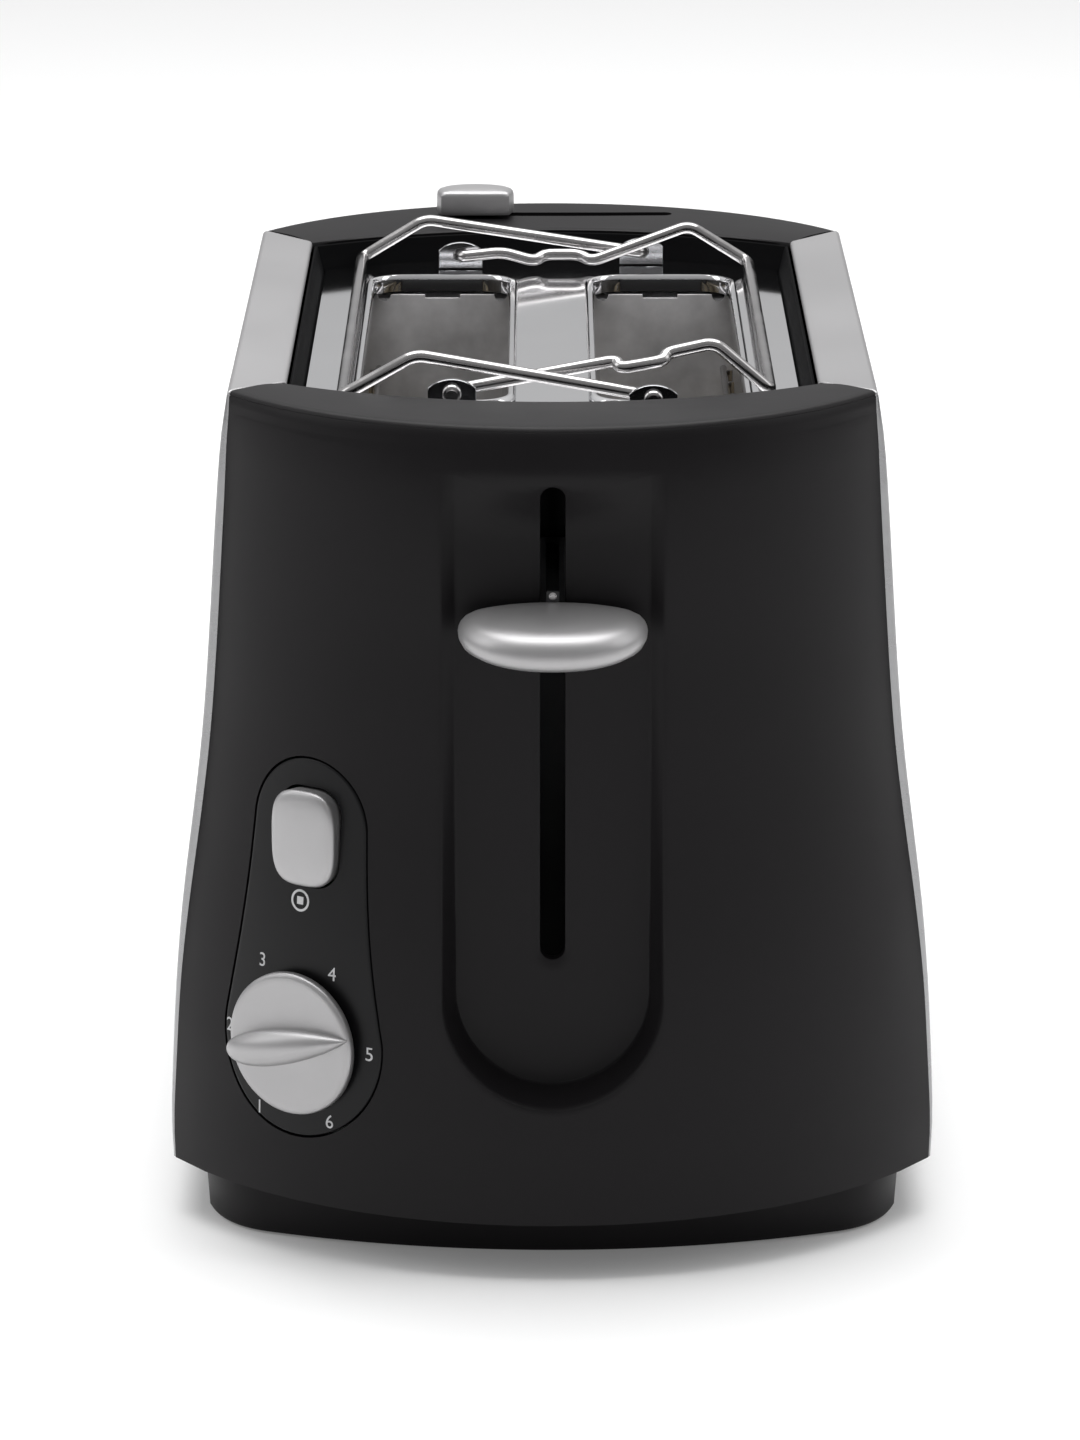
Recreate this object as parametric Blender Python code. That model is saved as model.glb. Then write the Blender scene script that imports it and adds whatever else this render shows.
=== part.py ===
"""Two-slot pop-up toaster with a fold-up bun rack, as separate named sub-parts.

The toaster stands on Z = 0. Its lever end faces -Y and the bread slots run along Y.
Every shape is worked out in millimetres in the toaster's own frame and stored in metres.
A moving piece hangs from an empty that stands on its joint's axis.
"""
import math

import bmesh
import bpy
from mathutils import Vector

# Driving dimensions, in millimetres
GAP = 0.3

TOP_Z = 200.0
SKIRT_Z = 13.6
CORNER_Y = 102.0
SIDE_PROFILE = ((13.6, 90.2), (25, 90.6), (70, 88.0), (121, 81.9), (186, 77.2), (200, 75.1))
# How far the side panels stand out beyond the caps, by height
PROUD_PROFILE = ((13.6, 0.5), (38, 0.9), (58, 1.1), (77, 1.65), (97, 2.0), (155, 2.0), (174, 1.9),
                 (186, 1.6), (193, 1.2), (200, 0.4))
SHEET = 1.2
PANEL_RETURN = 4.0
STRIP_RETURN = 1.4
SHOULDER_R = 1.5
SHOULDER_X = 73.9

CAP_BOW_TOP = 41.0
CAP_BOW_BOTTOM = 50.0
CAP_WALL = 2.5
CAP_ACROSS = 20
CAP_THICK_Y = 137.5
MOUTH_X = 62.0
MOUTH_Y = 89.0
MOUTH_BOW = 20.0
BAND_Z = 198.9

CHANNEL_Y = 140.5
CHANNEL_HALF = 22.2
CHANNEL_DRAFT = 0.4
CHANNEL_FOOT_Z = 67.0
CHANNEL_HEAD_Z = 189.0
LEVER_SLOT_HALF = 2.85
LEVER_SLOT_Z = (74.4, 186.6)

BASE_HALF = 82.0
BASE_CORNER_Y = 101.0
BASE_BEND = (78.5, 115.0)
BASE_BEND_X = 68.0
BASE_RADIUS = 181.0
BASE_REACH = 132.7
BASE_Z = (2.0, 20.0)
BASE_EDGE_Z = 0.4
BASE_EDGE = 4.0
BASE_WALL = 2.5
FLOOR_Z = 5.0
FOOT_XY = (64.0, 90.0)
POST_XY = (66.0, 60.0)

PLATE_Z = (191.3, 192.0)
SLOT_X = 28.0
SLOT_Y = -4.1
SLOT_HALF = 17.25
SLOT_LENGTH_HALF = 77.3
SLOT_R = 7.5

CHASSIS_Z = (21.0, 22.2)
FRONT_PLATE_Y = -75.5
REAR_PLATE_Y = 72.6
END_PLATE_TOP = 188.6
SHIELD_X = 57.0
BOARD_X = 51.0
BOARD_Z = (30.0, 172.0)
GUARD_OFFSET = 16.4
GUARD_Z = (30.0, 171.0)
GUARD_HALF_Y = 70.0

BRACKET_Y = 79.0
LIFTER_Z = 118.0
LEVER_Z = 155.0
ROD_XY = (18.0, -86.0)
ROD_R = 2.5
SPRING_XY = (29.0, -86.0)
SPRING_Z = (112.0, 183.5)
SPRING_TURNS = 12

DIAL_X = -59.4
DIAL_Z = 52.3
DIAL_YAW = math.radians(33)
DIAL_R = 17.0
DIAL_POINTER = math.radians(12.3)
BUTTON_AB = (1.1, 48.6)
BUTTON_HALF = (8.7, 11.4)
INSERT_LOW_R = 22.6
INSERT_HIGH_R = 16.2
INSERT_HIGH_AB = (0.7, 50.6)

PIVOT_X = 23.5
PIVOT_Z = 195.8
WIRE_R = 1.5
RACK_BRACKETS = {"front_left": (-23.5, -84.6), "rear_left": (-23.5, 89.9),
                 "front_right": (23.5, -91.3), "rear_right": (23.5, 95.4)}
RACK_BRACKET_HALF = 5.65
RACK_BRACKET_Z = (192.3, 197.0, 199.1)
RACK_SLOT_X = (-28.0, 32.0)
RACK_SLOT_Y = 126.0
RACK_KNOB_X = -20.0
RACK_KNOB_Z = (200.6, 207.4)

KNOB_BACK_Y = 141.5
KNOB_FRONT_Y = 166.0
KNOB_WAIST_Y = 147.0
KNOB_HALF = 21.5

GLAND_XZ = (-64.0, 8.0)

TRAY_HALF = 55.0
TRAY_FRONT_Y = -80.0

# The lever knob stands out further than the rear cap, so the body is set back by half of that
SET_BACK = (KNOB_FRONT_Y - (CORNER_Y + GAP + CAP_BOW_BOTTOM)) / 2

MATERIALS = {
    "black_plastic": ((0.014, 0.014, 0.015), 0.42, 0.0),
    "gloss_black": ((0.008, 0.008, 0.009), 0.18, 0.0),
    "silver_paint": ((0.45, 0.45, 0.46), 0.35, 0.85),
    "silver_trim": ((0.42, 0.42, 0.43), 0.3, 0.6),
    "polished_steel": ((0.75, 0.75, 0.76), 0.08, 1.0),
    "chrome_wire": ((0.7, 0.7, 0.71), 0.15, 1.0),
    "galvanised_steel": ((0.38, 0.38, 0.39), 0.4, 1.0),
    "black_steel": ((0.01, 0.01, 0.01), 0.35, 0.3),
    "mica": ((0.35, 0.29, 0.2), 0.55, 0.0),
    "heating_wire": ((0.2, 0.18, 0.17), 0.45, 1.0),
    "rubber": ((0.02, 0.02, 0.02), 0.8, 0.0),
    "circuit": ((0.03, 0.09, 0.05), 0.5, 0.0),
}


# Outlines and curves

def through(points, t):
    """Smooth curve through (position, value) points that are sorted by position."""
    t = min(max(t, points[0][0]), points[-1][0])
    last = len(points) - 1
    i = max(k for k in range(last) if points[k][0] <= t or k == 0)

    def slope(k):
        a = points[max(k - 1, 0)]
        b = points[min(k + 1, last)]
        return (b[1] - a[1]) / (b[0] - a[0])

    (t0, v0), (t1, v1) = points[i], points[i + 1]
    span = t1 - t0
    s = (t - t0) / span
    rise = v0 * (2 * s**3 - 3 * s**2 + 1) + v1 * (3 * s**2 - 2 * s**3)
    return rise + span * (slope(i) * (s**3 - 2 * s**2 + s) + slope(i + 1) * (s**3 - s**2))


def side_width(z):
    """Half-width of the silver side panels at height z."""
    return through(SIDE_PROFILE, z)


def cap_width(z):
    """Half-width of a cap at height z, a little less than the panels'."""
    return side_width(z) - through(PROUD_PROFILE, z)


def cap_bow(z):
    """How far the middle of a cap stands beyond its corners at height z."""
    spread = side_width(SKIRT_Z) - side_width(TOP_Z)
    flare = (side_width(z) - side_width(TOP_Z)) / spread
    return CAP_BOW_TOP + (CAP_BOW_BOTTOM - CAP_BOW_TOP) * flare


def arc_height(x, half, bow):
    """Height at x of the circular arc that rises by bow over a chord from -half to half."""
    radius = (half * half + bow * bow) / (2 * bow)
    return math.sqrt(max(radius * radius - x * x, 0.0)) - (radius - bow)


def face_y(x, z):
    """Distance of a cap's outer face from the toaster's middle, at x and z."""
    return CORNER_Y + GAP + arc_height(x, cap_width(z), cap_bow(z))


def mouth_outline(inward):
    """Edge of the top opening, drawn in by a distance."""
    half = MOUTH_X - inward
    points = []
    steps = 14
    for i in range(steps + 1):
        x = half * (2 * i / steps - 1)
        points.append((x, -(MOUTH_Y - 0.3 * inward + arc_height(x, half, MOUTH_BOW - 0.7 * inward))))
    return points + [(-x, -y) for x, y in points]


def base_outline(outward, steps=12):
    """Outline of the base: bowed ends, soft corners, straight sides."""
    centre_y = BASE_REACH - BASE_RADIUS
    bend_y = centre_y + math.sqrt(BASE_RADIUS**2 - BASE_BEND_X**2)
    corner = []
    for i in range(5):
        t = i / 4
        shares = ((1 - t)**2, 2 * t * (1 - t), t * t)
        corner.append((shares[0] * BASE_HALF + shares[1] * BASE_BEND[0] + shares[2] * BASE_BEND_X,
                       shares[0] * BASE_CORNER_Y + shares[1] * BASE_BEND[1] + shares[2] * bend_y))
    front = [(-x, -y) for x, y in corner]
    for i in range(1, steps):
        x = BASE_BEND_X * (2 * i / steps - 1)
        front.append((x, -(centre_y + math.sqrt(BASE_RADIUS**2 - x * x))))
    front += [(x, -y) for x, y in reversed(corner)]
    grow_x = (BASE_HALF + outward) / BASE_HALF
    grow_y = (BASE_REACH + outward) / BASE_REACH
    front = [(x * grow_x, y * grow_y) for x, y in front]
    return front + [(-x, -y) for x, y in front]


def tray_outline(inward, steps=8):
    """Outline of the crumb tray: three straight sides and a rear edge that follows the base."""
    half = TRAY_HALF - inward
    centre_y = BASE_REACH - BASE_RADIUS
    points = [(-half, TRAY_FRONT_Y + inward), (half, TRAY_FRONT_Y + inward)]
    for i in range(steps + 1):
        x = half * (1 - 2 * i / steps)
        points.append((x, centre_y + math.sqrt(BASE_RADIUS**2 - x * x) - 0.6 - inward))
    return points


def rounded_rectangle(half_x, half_y, radius, steps=4, centre=(0.0, 0.0)):
    """Counter-clockwise rectangle with round corners."""
    points = []
    for corner, (sx, sy) in enumerate(((1, 1), (-1, 1), (-1, -1), (1, -1))):
        for i in range(steps + 1):
            angle = math.pi / 2 * (corner + i / steps)
            x = centre[0] + sx * (half_x - radius) + radius * math.cos(angle)
            y = centre[1] + sy * (half_y - radius) + radius * math.sin(angle)
            points.append((x, y))
    return points


def circle(radius, sides, centre=(0.0, 0.0)):
    turn = 2 * math.pi / sides
    return [(centre[0] + radius * math.cos(i * turn), centre[1] + radius * math.sin(i * turn))
            for i in range(sides)]


def rounded_path(points, radius, steps=3):
    """The path with each inner corner replaced by a short curve."""
    path = [Vector(points[0])]
    for before, corner, after in zip(points, points[1:], points[2:]):
        before, corner, after = Vector(before), Vector(corner), Vector(after)
        reach_in = min(radius, 0.48 * (corner - before).length)
        reach_out = min(radius, 0.48 * (after - corner).length)
        a = corner + (before - corner).normalized() * reach_in
        b = corner + (after - corner).normalized() * reach_out
        for i in range(steps + 1):
            s = i / steps
            path.append(a * (1 - s) ** 2 + corner * 2 * s * (1 - s) + b * s * s)
    path.append(Vector(points[-1]))
    return path


# Mesh makers: each returns vertices in millimetres and faces

def loft(rings, loop=False):
    """Skin closed rings of equal length. Ends are filled, or joined to each other in a loop."""
    size = len(rings[0])
    vertices = [tuple(p) for ring in rings for p in ring]
    faces = []
    for r in range(len(rings) if loop else len(rings) - 1):
        a = r * size
        b = (r + 1) % len(rings) * size
        for i in range(size):
            j = (i + 1) % size
            faces.append((a + i, a + j, b + j, b + i))
    if not loop:
        faces.append(tuple(reversed(range(size))))
        faces.append(tuple(range(len(vertices) - size, len(vertices))))
    return vertices, faces


def sheet(outer, inner):
    """Closed shell between two grids of points that have the same rows and columns."""
    rows = len(outer)
    columns = len(outer[0])
    vertices = [tuple(p) for grid in (outer, inner) for row in grid for p in row]
    shift = rows * columns
    faces = []

    def at(i, k):
        return i * columns + k

    for i in range(rows - 1):
        for k in range(columns - 1):
            quad = (at(i, k), at(i + 1, k), at(i + 1, k + 1), at(i, k + 1))
            faces.append(quad)
            faces.append(tuple(v + shift for v in reversed(quad)))
    border = [at(i, 0) for i in range(rows)]
    border += [at(rows - 1, k) for k in range(1, columns)]
    border += [at(i, columns - 1) for i in range(rows - 2, -1, -1)]
    border += [at(0, k) for k in range(columns - 2, 0, -1)]
    for a, b in zip(border, border[1:] + border[:1]):
        faces.append((a, b, b + shift, a + shift))
    return vertices, faces


def prism(outline, low, high):
    """Outline in X and Y, raised along Z."""
    return loft([[(x, y, z) for x, y in outline] for z in (low, high)])


def box(x, y, z):
    """Box from three (low, high) pairs."""
    outline = [(x[0], y[0]), (x[1], y[0]), (x[1], y[1]), (x[0], y[1])]
    return prism(outline, z[0], z[1])


def turned(profile, origin=(0, 0, 0), axis=(0, 0, 1), sides=16):
    """Solid of revolution from (radius, height) pairs along an axis."""
    axis = Vector(axis).normalized()
    across = axis.orthogonal().normalized()
    other = axis.cross(across)
    rings = []
    for radius, height in profile:
        ring = []
        for a, b in circle(radius, sides):
            ring.append(Vector(origin) + axis * height + across * a + other * b)
        rings.append(ring)
    return loft(rings)


def tube(points, radius, sides=8):
    """Round wire along a path."""
    path = [Vector(p) for p in points]
    heading = (path[1] - path[0]).normalized()
    across = heading.orthogonal().normalized()
    rings = []
    for i, point in enumerate(path):
        ahead = (path[min(i + 1, len(path) - 1)] - path[max(i - 1, 0)]).normalized()
        across = (across - ahead * across.dot(ahead)).normalized()
        other = ahead.cross(across)
        ring = []
        for a, b in circle(radius, sides):
            ring.append(point + across * a + other * b)
        rings.append(ring)
    return loft(rings)


def lattice(x, y_lines, z_lines):
    """Flat grid of bars: every second band between the lines is a bar, the rest are holes."""
    columns = len(y_lines)
    vertices = [(side, y, z) for side in x for z in z_lines for y in y_lines]
    shift = columns * len(z_lines)
    sides = {}
    faces = []
    for k in range(len(z_lines) - 1):
        for i in range(columns - 1):
            if i % 2 and k % 2:
                continue
            a = k * columns + i
            quad = (a, a + 1, a + columns + 1, a + columns)
            faces.append(quad)
            faces.append(tuple(v + shift for v in reversed(quad)))
            for u, v in zip(quad, quad[1:] + quad[:1]):
                if (v, u) in sides:
                    del sides[(v, u)]
                else:
                    sides[(u, v)] = True
    for u, v in sides:
        faces.append((v, u, u + shift, v + shift))
    return vertices, faces


def serpentine(x, half_y, z_low, z_high, passes, half_width):
    """Flat ribbon that runs to and fro across a board."""
    step = (z_high - z_low) / (passes - 1)
    path = []
    for i in range(passes):
        ends = [(-half_y, z_low + i * step), (half_y, z_low + i * step)]
        path += ends if i % 2 == 0 else ends[::-1]
    left = []
    right = []
    for i, (y, z) in enumerate(path):
        before = Vector(path[max(i - 1, 0)])
        after = Vector(path[min(i + 1, len(path) - 1)])
        enter = (Vector((y, z)) - before) if i else (after - Vector((y, z)))
        leave = (after - Vector((y, z))) if i < len(path) - 1 else enter
        enter.normalize()
        leave.normalize()
        turn = Vector((-enter.y, enter.x)) * half_width
        if abs(enter.dot(leave)) < 0.5:
            turn += Vector((-leave.y, leave.x)) * half_width
        left.append((y + turn.x, z + turn.y))
        right.append((y - turn.x, z - turn.y))
    outline = left + right[::-1]
    return loft([[(side, y, z) for y, z in outline] for side in x])


# Objects

def start_scene():
    for item in list(bpy.data.objects):
        bpy.data.objects.remove(item, do_unlink=True)


def material(name):
    found = bpy.data.materials.get(name)
    if found:
        return found
    colour, roughness, metallic = MATERIALS[name]
    made = bpy.data.materials.new(name)
    made.use_nodes = True
    shader = made.node_tree.nodes["Principled BSDF"]
    shader.inputs["Base Color"].default_value = (*colour, 1.0)
    shader.inputs["Roughness"].default_value = roughness
    shader.inputs["Metallic"].default_value = metallic
    return made


def empty(name, location, parent=None):
    """Empty that stands on a joint's axis; its location is in the toaster's frame, in mm."""
    holder = bpy.data.objects.new(name, None)
    bpy.context.collection.objects.link(holder)
    holder.parent = parent
    holder.location = Vector(location) / 1000
    holder.empty_display_size = 0.02
    return holder


def node(name, shape, finish, holder, smooth=True):
    """Object from millimetre geometry, hung from its body's empty."""
    vertices, faces = shape
    pivot = Vector((0, 0, 0))
    if holder is not None and holder.parent is not None:
        pivot = holder.location.copy()
    mesh = bpy.data.meshes.new(name)
    mesh.from_pydata([Vector(v) / 1000 - pivot for v in vertices], [], faces)
    work = bmesh.new()
    work.from_mesh(mesh)
    bmesh.ops.recalc_face_normals(work, faces=work.faces)
    work.to_mesh(mesh)
    work.free()
    if smooth:
        mesh.shade_smooth()
        mesh.set_sharp_from_angle(angle=math.radians(35))
    item = bpy.data.objects.new(name, mesh)
    bpy.context.collection.objects.link(item)
    item.parent = holder
    item.data.materials.append(material(finish))
    return item


def combine(item, shape, operation):
    """Apply one Boolean with a tool shape, in the item's own body frame."""
    tool = node("tool", shape, "rubber", item.parent, smooth=False)
    change = item.modifiers.new("boolean", "BOOLEAN")
    change.operation = operation
    change.solver = "EXACT"
    change.object = tool
    bpy.context.view_layer.update()
    depsgraph = bpy.context.evaluated_depsgraph_get()
    result = bpy.data.meshes.new_from_object(item.evaluated_get(depsgraph))
    item.modifiers.clear()
    finish = item.data.materials[0]
    item.data = result
    item.data.materials.clear()
    item.data.materials.append(finish)
    bpy.data.objects.remove(tool, do_unlink=True)


def cut(item, shape):
    combine(item, shape, "DIFFERENCE")


def join(item, shape):
    combine(item, shape, "UNION")


# Outer shells

def cap_skins(end, thick_y=None):
    """Outer and inner grids of a cap; end is -1 for the front and 1 for the rear."""
    crown = ((5.0, TOP_Z), (1.5, TOP_Z - 0.2), (0.4, TOP_Z - 0.9), (0.0, TOP_Z - 4))
    lining = ((5.0, TOP_Z - 2.5), (3.6, TOP_Z - 3), (2.8, TOP_Z - 4), (2.5, TOP_Z - 7))
    heights = (180, 160, 140, 120, 100, 80, 60, 40, SKIRT_Z)

    def point(u, z, inward, mitre):
        half = cap_width(z) - inward
        x = u * half
        return x, CORNER_Y + GAP - mitre + arc_height(x, half, cap_bow(z) + mitre - inward), z

    outer = []
    inner = []
    for i in range(CAP_ACROSS + 1):
        u = 2 * i / CAP_ACROSS - 1
        edge_x = u * MOUTH_X
        edge_y = MOUTH_Y + GAP + arc_height(edge_x, MOUTH_X, MOUTH_BOW)
        skin = [(edge_x, edge_y, BAND_Z)]
        skin += [point(u, z, inward, inward) for inward, z in crown]
        skin += [point(u, z, 0.0, 0.0) for z in heights]
        back = [(edge_x, edge_y, BAND_Z - CAP_WALL)]
        back += [point(u, z, inward, min(inward, 5.0)) for inward, z in lining[:2]]
        back += [point(u, z, inward, 0.0) for inward, z in lining[2:]]
        back += [point(u, z, CAP_WALL, 0.0) for z in heights]
        if thick_y:
            back = [(x, min(y, thick_y), z) for x, y, z in back]
        outer.append([(x, end * y, z) for x, y, z in skin])
        inner.append([(x, end * y, z) for x, y, z in back])
    return outer, inner


def channel_cutter():
    """Drafted U-shaped recess that the lever runs in."""
    rings = []
    for y in (CHANNEL_Y, 165.0):
        spread = CHANNEL_DRAFT * (y - CHANNEL_Y)
        half = CHANNEL_HALF + spread
        ring = []
        for i in range(13):
            angle = math.pi * (1 + i / 12)
            ring.append((half * math.cos(angle), -y, CHANNEL_FOOT_Z + half * math.sin(angle)))
        ring.append((half, -y, CHANNEL_HEAD_Z + spread / 2))
        ring.append((-half, -y, CHANNEL_HEAD_Z + spread / 2))
        rings.append(ring)
    return loft(rings)


def lever_slot_cutter():
    half = LEVER_SLOT_HALF
    low, high = LEVER_SLOT_Z
    outline = rounded_rectangle(half, (high - low) / 2, half - 0.05, 4, (0, (low + high) / 2))
    return loft([[(x, -y, z) for x, z in outline] for y in (130.0, 160.0)])


class ControlFrame:
    """Flat frame on the cap at the browning dial: a to the right, b up, c outwards."""

    def __init__(self):
        self.outward = Vector((-math.sin(DIAL_YAW), -math.cos(DIAL_YAW), 0))
        self.right = Vector((math.cos(DIAL_YAW), -math.sin(DIAL_YAW), 0))
        self.origin = Vector((DIAL_X, -face_y(DIAL_X, DIAL_Z), DIAL_Z))

    def at(self, a, b, c):
        return self.origin + self.right * a + Vector((0, 0, b)) + self.outward * c

    def surface(self, a, b):
        """Height c of the cap's face over a point of the frame."""
        place = self.at(a, b, 0)
        return (Vector((place.x, -face_y(place.x, place.z), place.z)) - place).dot(self.outward)

    def block(self, outline, low, high):
        """Outline in a and b, raised along c."""
        return loft([[self.at(a, b, c) for a, b in outline] for c in (low, high)])


def insert_outline(grow):
    """Gourd shape: a large round lobe, a small one above it, and the tangents between."""
    a, b = INSERT_HIGH_AB
    lean = math.atan2(b, a)
    spread = math.acos((INSERT_LOW_R - INSERT_HIGH_R) / math.hypot(a, b))
    points = []
    for i in range(19):
        angle = lean + spread + (2 * math.pi - 2 * spread) * i / 18
        points.append(((INSERT_LOW_R + grow) * math.cos(angle), (INSERT_LOW_R + grow) * math.sin(angle)))
    for i in range(13):
        angle = lean - spread + 2 * spread * i / 12
        radius = INSERT_HIGH_R + grow
        points.append((a + radius * math.cos(angle), b + radius * math.sin(angle)))
    return points


def make_caps(body, frame):
    front = node("front_cap", sheet(*cap_skins(-1, CAP_THICK_Y)), "black_plastic", body)
    cut(front, channel_cutter())
    cut(front, lever_slot_cutter())
    insert = node("control_insert", sheet(*cap_skins(-1, CAP_THICK_Y)), "gloss_black", body)
    combine(insert, frame.block(insert_outline(0), -12, 20), "INTERSECT")
    cut(front, frame.block(insert_outline(GAP), -12, 20))
    hole = rounded_rectangle(BUTTON_HALF[0] + 0.4, BUTTON_HALF[1] + 0.4, 6, 4, BUTTON_AB)
    cut(insert, frame.block(hole, -12, 20))
    cut(insert, frame.block(circle(3.6, 12), -12, 20))
    rear = node("rear_cap", sheet(*cap_skins(1)), "black_plastic", body)
    cut(rear, box(RACK_SLOT_X, (RACK_SLOT_Y - 2.2, RACK_SLOT_Y + 2.2), (185, 205)))


def make_panels(body):
    """Silver side sheets that turn over the shoulder into the top strips."""
    heights = (SKIRT_Z, 20, 30, 45, 60, 75, 90, 105, 120, 140, 160, 180, 192, 197.5)
    profile = [Vector((side_width(z), z)) for z in heights]
    for degrees in (20, 45, 70, 90):
        angle = math.radians(degrees)
        profile.append(Vector((SHOULDER_X + SHOULDER_R * math.cos(angle),
                               TOP_Z - SHOULDER_R + SHOULDER_R * math.sin(angle))))
    profile += [Vector((67.0, TOP_Z - 0.3)), Vector((MOUTH_X, TOP_Z - 0.8))]
    for name, side in (("left_panel", -1), ("right_panel", 1)):
        rings = []
        for i, point in enumerate(profile):
            along = profile[min(i + 1, len(profile) - 1)] - profile[max(i - 1, 0)]
            inward = Vector((-along.y, along.x)).normalized()
            if i == len(profile) - 1:
                inward = Vector((0, -1))
            if i == 0:
                inward = Vector((-1, 0))
            fold = PANEL_RETURN if i < len(heights) - 1 else STRIP_RETURN
            reach = CORNER_Y
            if i >= len(heights):
                reach = MOUTH_Y + point.x + inward.x * fold - MOUTH_X
            section = ((0, -reach), (0, reach), (fold, reach), (fold, reach - SHEET),
                       (SHEET, reach - SHEET), (SHEET, SHEET - reach), (fold, SHEET - reach), (fold, -reach))
            ring = []
            for depth, y in section:
                place = point + inward * depth
                ring.append((side * place.x, y, place.y))
            rings.append(ring)
        node(name, loft(rings), "silver_paint", body)


def make_top(body):
    """Sunken well: black frame, mirror plate, and a rolled rim round each slot."""
    section = ((GAP, 198.4), (GAP, 189.4), (7.0, 189.4), (7.0, 190.9), (3.1, 190.9), (1.5, 198.4))
    rings = [[(x, y, z) for x, y in mouth_outline(inward)] for inward, z in section]
    node("top_frame", loft(rings, loop=True), "black_plastic", body)
    plate = node("top_plate", prism(mouth_outline(3.5), *PLATE_Z), "polished_steel", body)
    rim = ((0, 189.2), (0, 192.9), (0.6, 193.6), (1.5, 193.6), (2.2, 192.9), (2.2, 192.3),
           (0.9, 192.3), (0.9, 189.2))
    for name, side in (("slot_rim_left", -1), ("slot_rim_right", 1)):
        centre = (side * SLOT_X, SLOT_Y)
        hole = rounded_rectangle(SLOT_HALF + 1.3, SLOT_LENGTH_HALF + 1.3, SLOT_R + 1.3, 4, centre)
        cut(plate, prism(hole, 190, 193))
        rings = []
        for outward, z in rim:
            outline = rounded_rectangle(SLOT_HALF + outward, SLOT_LENGTH_HALF + outward,
                                        SLOT_R + outward, 4, centre)
            rings.append([(x, y, z) for x, y in outline])
        node(name, loft(rings, loop=True), "chrome_wire", body)


def make_base(body):
    low, high = BASE_Z
    section = ((-BASE_EDGE, low), (-BASE_EDGE, BASE_EDGE_Z), (-1.0, BASE_EDGE_Z), (0.0, low),
               (0.0, high), (-BASE_WALL, high), (-BASE_WALL, FLOOR_Z))
    rings = [[(x, y, z) for x, y in base_outline(outward)] for outward, z in section]
    base = node("base_tray", loft(rings), "black_plastic", body)
    places = [(sx * POST_XY[0], sy * POST_XY[1]) for sx in (-1, 1) for sy in (-1, 1)]
    for x, y in places:
        join(base, turned(((5.0, FLOOR_Z - 1), (5.0, CHASSIS_Z[0] - GAP)), (x, y, 0)))
    for x, y in places:
        bore = ((3.9, 0.0), (3.9, 4.6), (2.0, 4.6), (2.0, 22.0))
        cut(base, turned(bore, (x, y, 0), sides=12))
    cut(base, box((-TRAY_HALF - 0.6, TRAY_HALF + 0.6), (110, 140), (FLOOR_Z - 0.1, 12.5)))
    gland_at = (GLAND_XZ[0], 0, GLAND_XZ[1])
    cut(base, turned(((3.8, 105), (3.8, 130)), gland_at, (0, 1, 0)))
    screw = ((3.5, 2.4), (3.5, 4.2), (1.6, 4.2), (1.6, CHASSIS_Z[0] - GAP))
    for name, x, y in (("front_left", -1, -1), ("front_right", 1, -1),
                       ("rear_left", -1, 1), ("rear_right", 1, 1)):
        foot = ((7.0, 0.0), (7.5, 0.6), (7.5, low - GAP))
        node("foot_" + name, turned(foot, (x * FOOT_XY[0], y * FOOT_XY[1], 0)), "rubber", body)
        place = (x * POST_XY[0], y * POST_XY[1], 0)
        node("base_screw_" + name, turned(screw, place, sides=10), "galvanised_steel", body)
    flange = ((5.0, 124.2), (5.0, 126.4), (4.2, 129.0), (3.2, 129.0), (3.2, 124.2))
    gland = node("cord_gland", turned(flange, gland_at, (0, 1, 0)), "rubber", body)
    join(gland, turned(((3.5, 114.0), (3.5, 126.0)), gland_at, (0, 1, 0)))
    cut(gland, turned(((2.3, 112.0), (2.3, 140.0)), gland_at, (0, 1, 0), 12))


# The works inside

def make_chassis(body):
    low, high = CHASSIS_Z
    floor = node("chassis_base", box((-71, 71), (-92, 92), (low, high)), "galvanised_steel", body)
    cut(floor, box((-52, 52), (-68, 68), (low - 1, high + 1)))
    foot = high + GAP
    half = SHEET / 2
    for name, end, y in (("front_chassis_plate", -1, FRONT_PLATE_Y),
                         ("rear_chassis_plate", 1, REAR_PLATE_Y)):
        plate = node(name, box((-56, 56), (y - half, y + half), (foot, END_PLATE_TOP)),
                     "galvanised_steel", body)
        flange = sorted((y, end * 91.0))
        join(plate, box((-54, 54), flange, (END_PLATE_TOP - 2 * SHEET, END_PLATE_TOP - SHEET)))
        for side in (-1, 1):
            x = side * SLOT_X
            cut(plate, box((x - 2.5, x + 2.5), (y - 2, y + 2), (28, 150)))
    for name, side in (("heat_shield_left", -1), ("heat_shield_right", 1)):
        x = sorted((side * SHIELD_X, side * (SHIELD_X + 0.8)))
        node(name, box(x, (-71, 71), (foot, END_PLATE_TOP)), "galvanised_steel", body)


def make_heaters(body):
    thick = 0.8
    ribbon = 0.5
    for name, x in (("left", -BOARD_X), ("centre", 0.0), ("right", BOARD_X)):
        shape = box((x - thick / 2, x + thick / 2), (-68, 68), BOARD_Z)
        node("heater_board_" + name, shape, "mica", body)
    away = thick / 2 + GAP
    places = (("left", -BOARD_X + away), ("centre_left", -away - ribbon),
              ("centre_right", away), ("right", BOARD_X - away - ribbon))
    for name, x in places:
        shape = serpentine((x, x + ribbon), 60, BOARD_Z[0] + 10, BOARD_Z[1] - 8, 10, 0.8)
        node("heating_element_" + name, shape, "heating_wire", body)


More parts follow.
